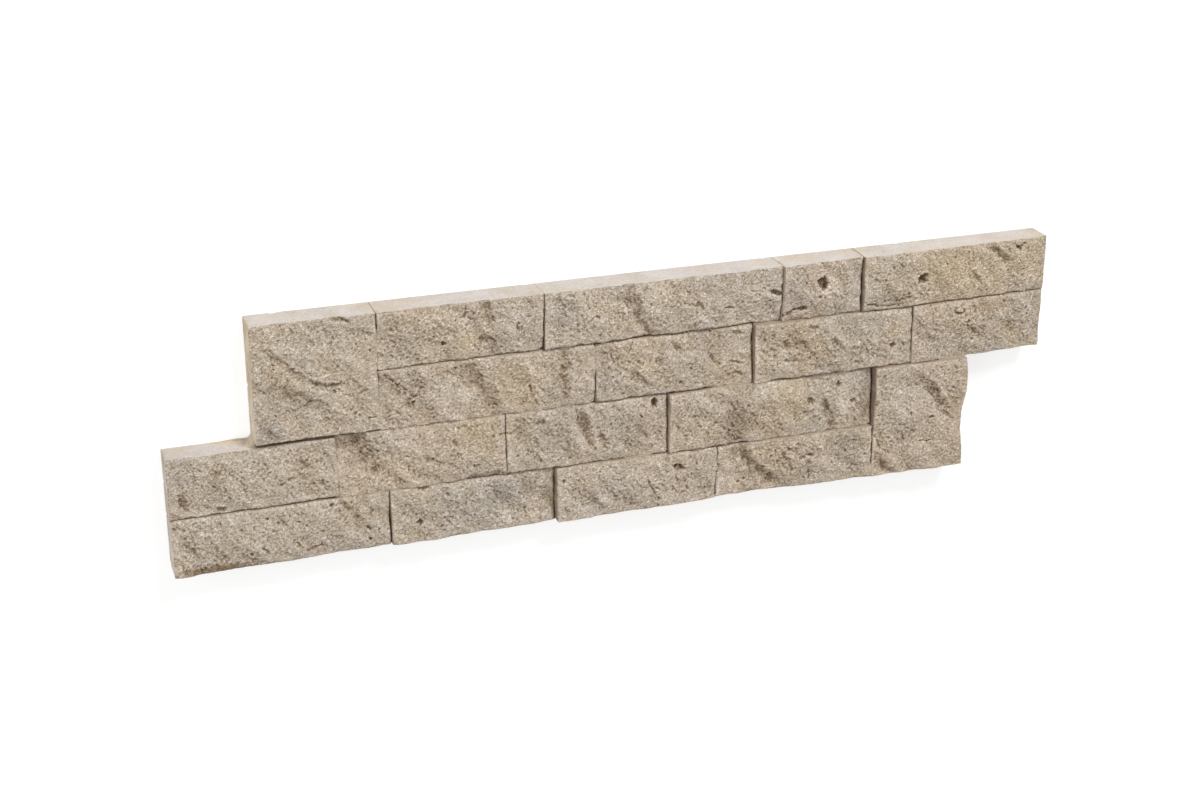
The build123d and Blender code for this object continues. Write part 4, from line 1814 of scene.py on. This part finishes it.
def bottom_stones() -> list:
    """List the stones of the bottom course.

    Returns:
        The stones, left to right.
    """
    return [
        SplitStone(
            "bottom_stone_1", 0, (22.3, 16.5, 18.5, 18), 1.4, (0.96, 0.98, 1),
            scarps=(((19, 10, 9, 22), 1, 3, 4, 0.1, 0.4), ((9, 3, 2, 12), 0.9, 2.6, 4, 0.1, 0.4)),
            ledges=(
                (33, 8, 25, 18, 0.9, 3), (49, 4, 42, 10, 1, 2.4), (116, 19, 111, 25, 0.9, 2.2),
                (109, 28, 103, 35, 0.9, 2.6),
            ),
            cracks=(
                (56, 7, 53, 11, 1.9, 1.2), (75, 9.5, 71.5, 12, 1.6, 1),
                (80, 5, 84, 6.5, 88.5, 6.5, 1.8, 1.3), (117.5, 12.5, 116, 15.5, 1.9, 1.3),
            ),
            stains_and_painted_light={
                Tint.PALE: ((13, 13, 26, 20, 0, 0.45, 1.3),),
                Tint.BROWN: ((27, 12, 20, 17, 0, 0.45, 1.1), (109, 25, 24, 22, -30, 0.45)),
                # Painted shade along the bottom edge, which faces away from the light.
                Tint.DARK: ((25, 1, 50, 7.5, 0, 1.3, 1.2),),
                Tint.RUST: ((85, 6, 16, 7, 0, 0.4),),
            },
            spots=(
                (2, 30, 2.4), (20, 22, 2.2), (41, 24, 1.9), (46, 8, 2.6), (57, 28.5, 2.2), (63, 25, 2.4),
                (75, 24, 2.4), (95.5, 31.5, 2.8), (107, 32, 2), (117, 14, 2.2), (118, 6, 3.2), (89, 16, 2),
                (8, 23, 1.8), (100, 27.5, 1.7), (29, 29, 1.6), (104, 19, 1.7),
            ),
        ),
        SplitStone(
            "bottom_stone_2", 1, (20, 15.5, 18.5, 14.8), 1.2, (0.99, 1, 1.01),
            scarps=(((206, 18, 197, 29), 0.8, 4, 5),),
            cracks=(
                (149, 34, 155, 34, 1.6, 1.2), (167.5, 27.5, 165, 31.5, 2.3, 1.5), (218, 5, 214, 12, 1.7, 1),
            ),
            pits=((148.5, 13, 4.2, 3.6, 0, 2.4), (233.5, 20, 10, 32, 0, 1.1, 0.9)),
            stains_and_painted_light={
                Tint.GREY: (
                    (206, 25, 38, 20, 0, 0.8, 1.15), (201, 23, 13, 11, 0, 0.5), (157, 21, 46, 26, 0, 0.45),
                ),
                Tint.PALE: ((208, 6, 36, 9, 0, 0.7, 0.8),),
                # Painted shadow of the proud stone on the right, along this stone's right end.
                Tint.DARK: ((232, 20, 8, 30, 0, 0.12),),
            },
            spots=(
                (162, 8, 2.2), (147, 18, 1.8), (139, 20, 1.8), (191, 26.5, 1.8), (207, 6, 1.8),
                (183, 12, 1.6), (222, 27, 1.7), (176, 31, 1.6),
            ),
        ),
        SplitStone(
            "bottom_stone_3", 2, (20, 17, 18.5, 19), 1.2, (1, 1.01, 1.03),
            ledges=((267, 6, 259, 14, 0.8, 2.6),),
            cracks=(
                (275, 10, 270, 15, 1.9, 1.1), (290, 15, 285, 21, 1.6, 0.9),
                (302, 5, 298, 12, 295, 18, 1.4, 1.2), (312, 25.5, 315, 27.5, 318, 23.5, 1.9, 1.8),
                (321, 8, 319.5, 15, 1.5, 0.9),
            ),
            pits=((315.3, 25, 6, 4.2, -20, 1.7, 0.4),),
            stains_and_painted_light={
                Tint.BROWN: ((255, 20, 18, 12, -30, 0.5, 1.1), (316, 17, 8, 9, 0, 0.5)),
                Tint.DARK: ((333, 8, 9, 7, 0, 0.45),),
                Tint.PALE: ((291, 24, 16, 12, -40, 0.4, 0.7),),
                Tint.GREY: ((290, 12, 30, 16, 0, 0.45),),
            },
            spots=(
                (240, 27, 2.6), (249, 26, 1.7), (327, 26, 2.2), (333, 8, 2), (252, 9, 1.6), (263, 30, 1.6),
                (306, 31, 1.5), (283, 5, 1.6),
            ),
        ),
        SplitStone(
            "bottom_stone_4", 3, (14.5, 18.5, 19.5, 19.5), 1, (0.99, 0.98, 0.97),
            scarps=(
                ((384, 8, 377, 14, 369, 20.5, 364.5, 27, 361, 36.5), 2, 4.5, 10, 0.2, 0.55),
                ((390, 21, 386, 26), 1.2, 2.2, 3),
            ),
            ledges=((414, 21, 409, 28, 1, 2.4),),
            cracks=((397, 19, 401, 21.5, 405, 21, 1.9, 1.5), (403.5, 5, 403, 18, 1.8, 0.8)),
            pits=((377.5, 10.5, 5, 3, 0, 1.2, 0.5), (431, 25, 22, 13, 0, 0.8, 0.8)),
            stains_and_painted_light={
                Tint.PALE: ((347, 12, 15, 20, 0, 2.4, 0.45), (417, 11, 20, 13, 0, 1.2, 0.8)),
                Tint.DARK: ((357, 30, 13, 11, -50, 0.6, 1.2),),
                Tint.BROWN: ((383, 21, 36, 28, -30, 0.35, 1.35),),
                Tint.GREY: ((403, 12, 6, 16, 0, 0.9), (430, 25, 24, 15, 0, 0.9, 1.2)),
            },
            spots=(
                (376.5, 24, 2.4), (382, 19.5, 2), (360, 10, 2), (356, 8, 1.8), (442, 16.5, 2.2),
                (428, 21, 1.9), (395, 30, 1.8), (419, 14, 1.7), (391, 13, 1.8),
            ),
        ),
    ]


def main() -> None:
    """Build the stones, the resin and the studio, and report each piece."""
    finishes = {
        Surface.SPLIT: SplitFinish().material(),
        Surface.SAWN: SawnFinish("sawn_stone_side").material(),
        Surface.BACK: SawnFinish("sawn_stone_back").material(),
    }
    joints = open_joints()
    courses = bottom_stones() + lower_stones() + upper_stones() + top_stones()
    stones = {stone.node: stone for stone in courses}
    pieces = {}
    for node, stone in stones.items():
        stone.joints = joints
        pieces[node] = stone.build()
        stone.dress(pieces[node], finishes)
    bonds = ResinBonds("resin_joints", stones, joints)
    pieces[bonds.node] = bonds.build()
    pieces[bonds.node].data.materials.append(ResinFinish().material())
    for node, piece in pieces.items():
        solid = bpy.data.objects[node].data
        solid.materials.clear()
        solid.materials.append(piece.data.materials[0])
        log.info("%s: %d faces", piece.name, len(piece.data.polygons))
    Studio().build()


if __name__ == "__main__":
    logging.basicConfig(level=logging.INFO, format="%(name)s %(message)s")
    main()
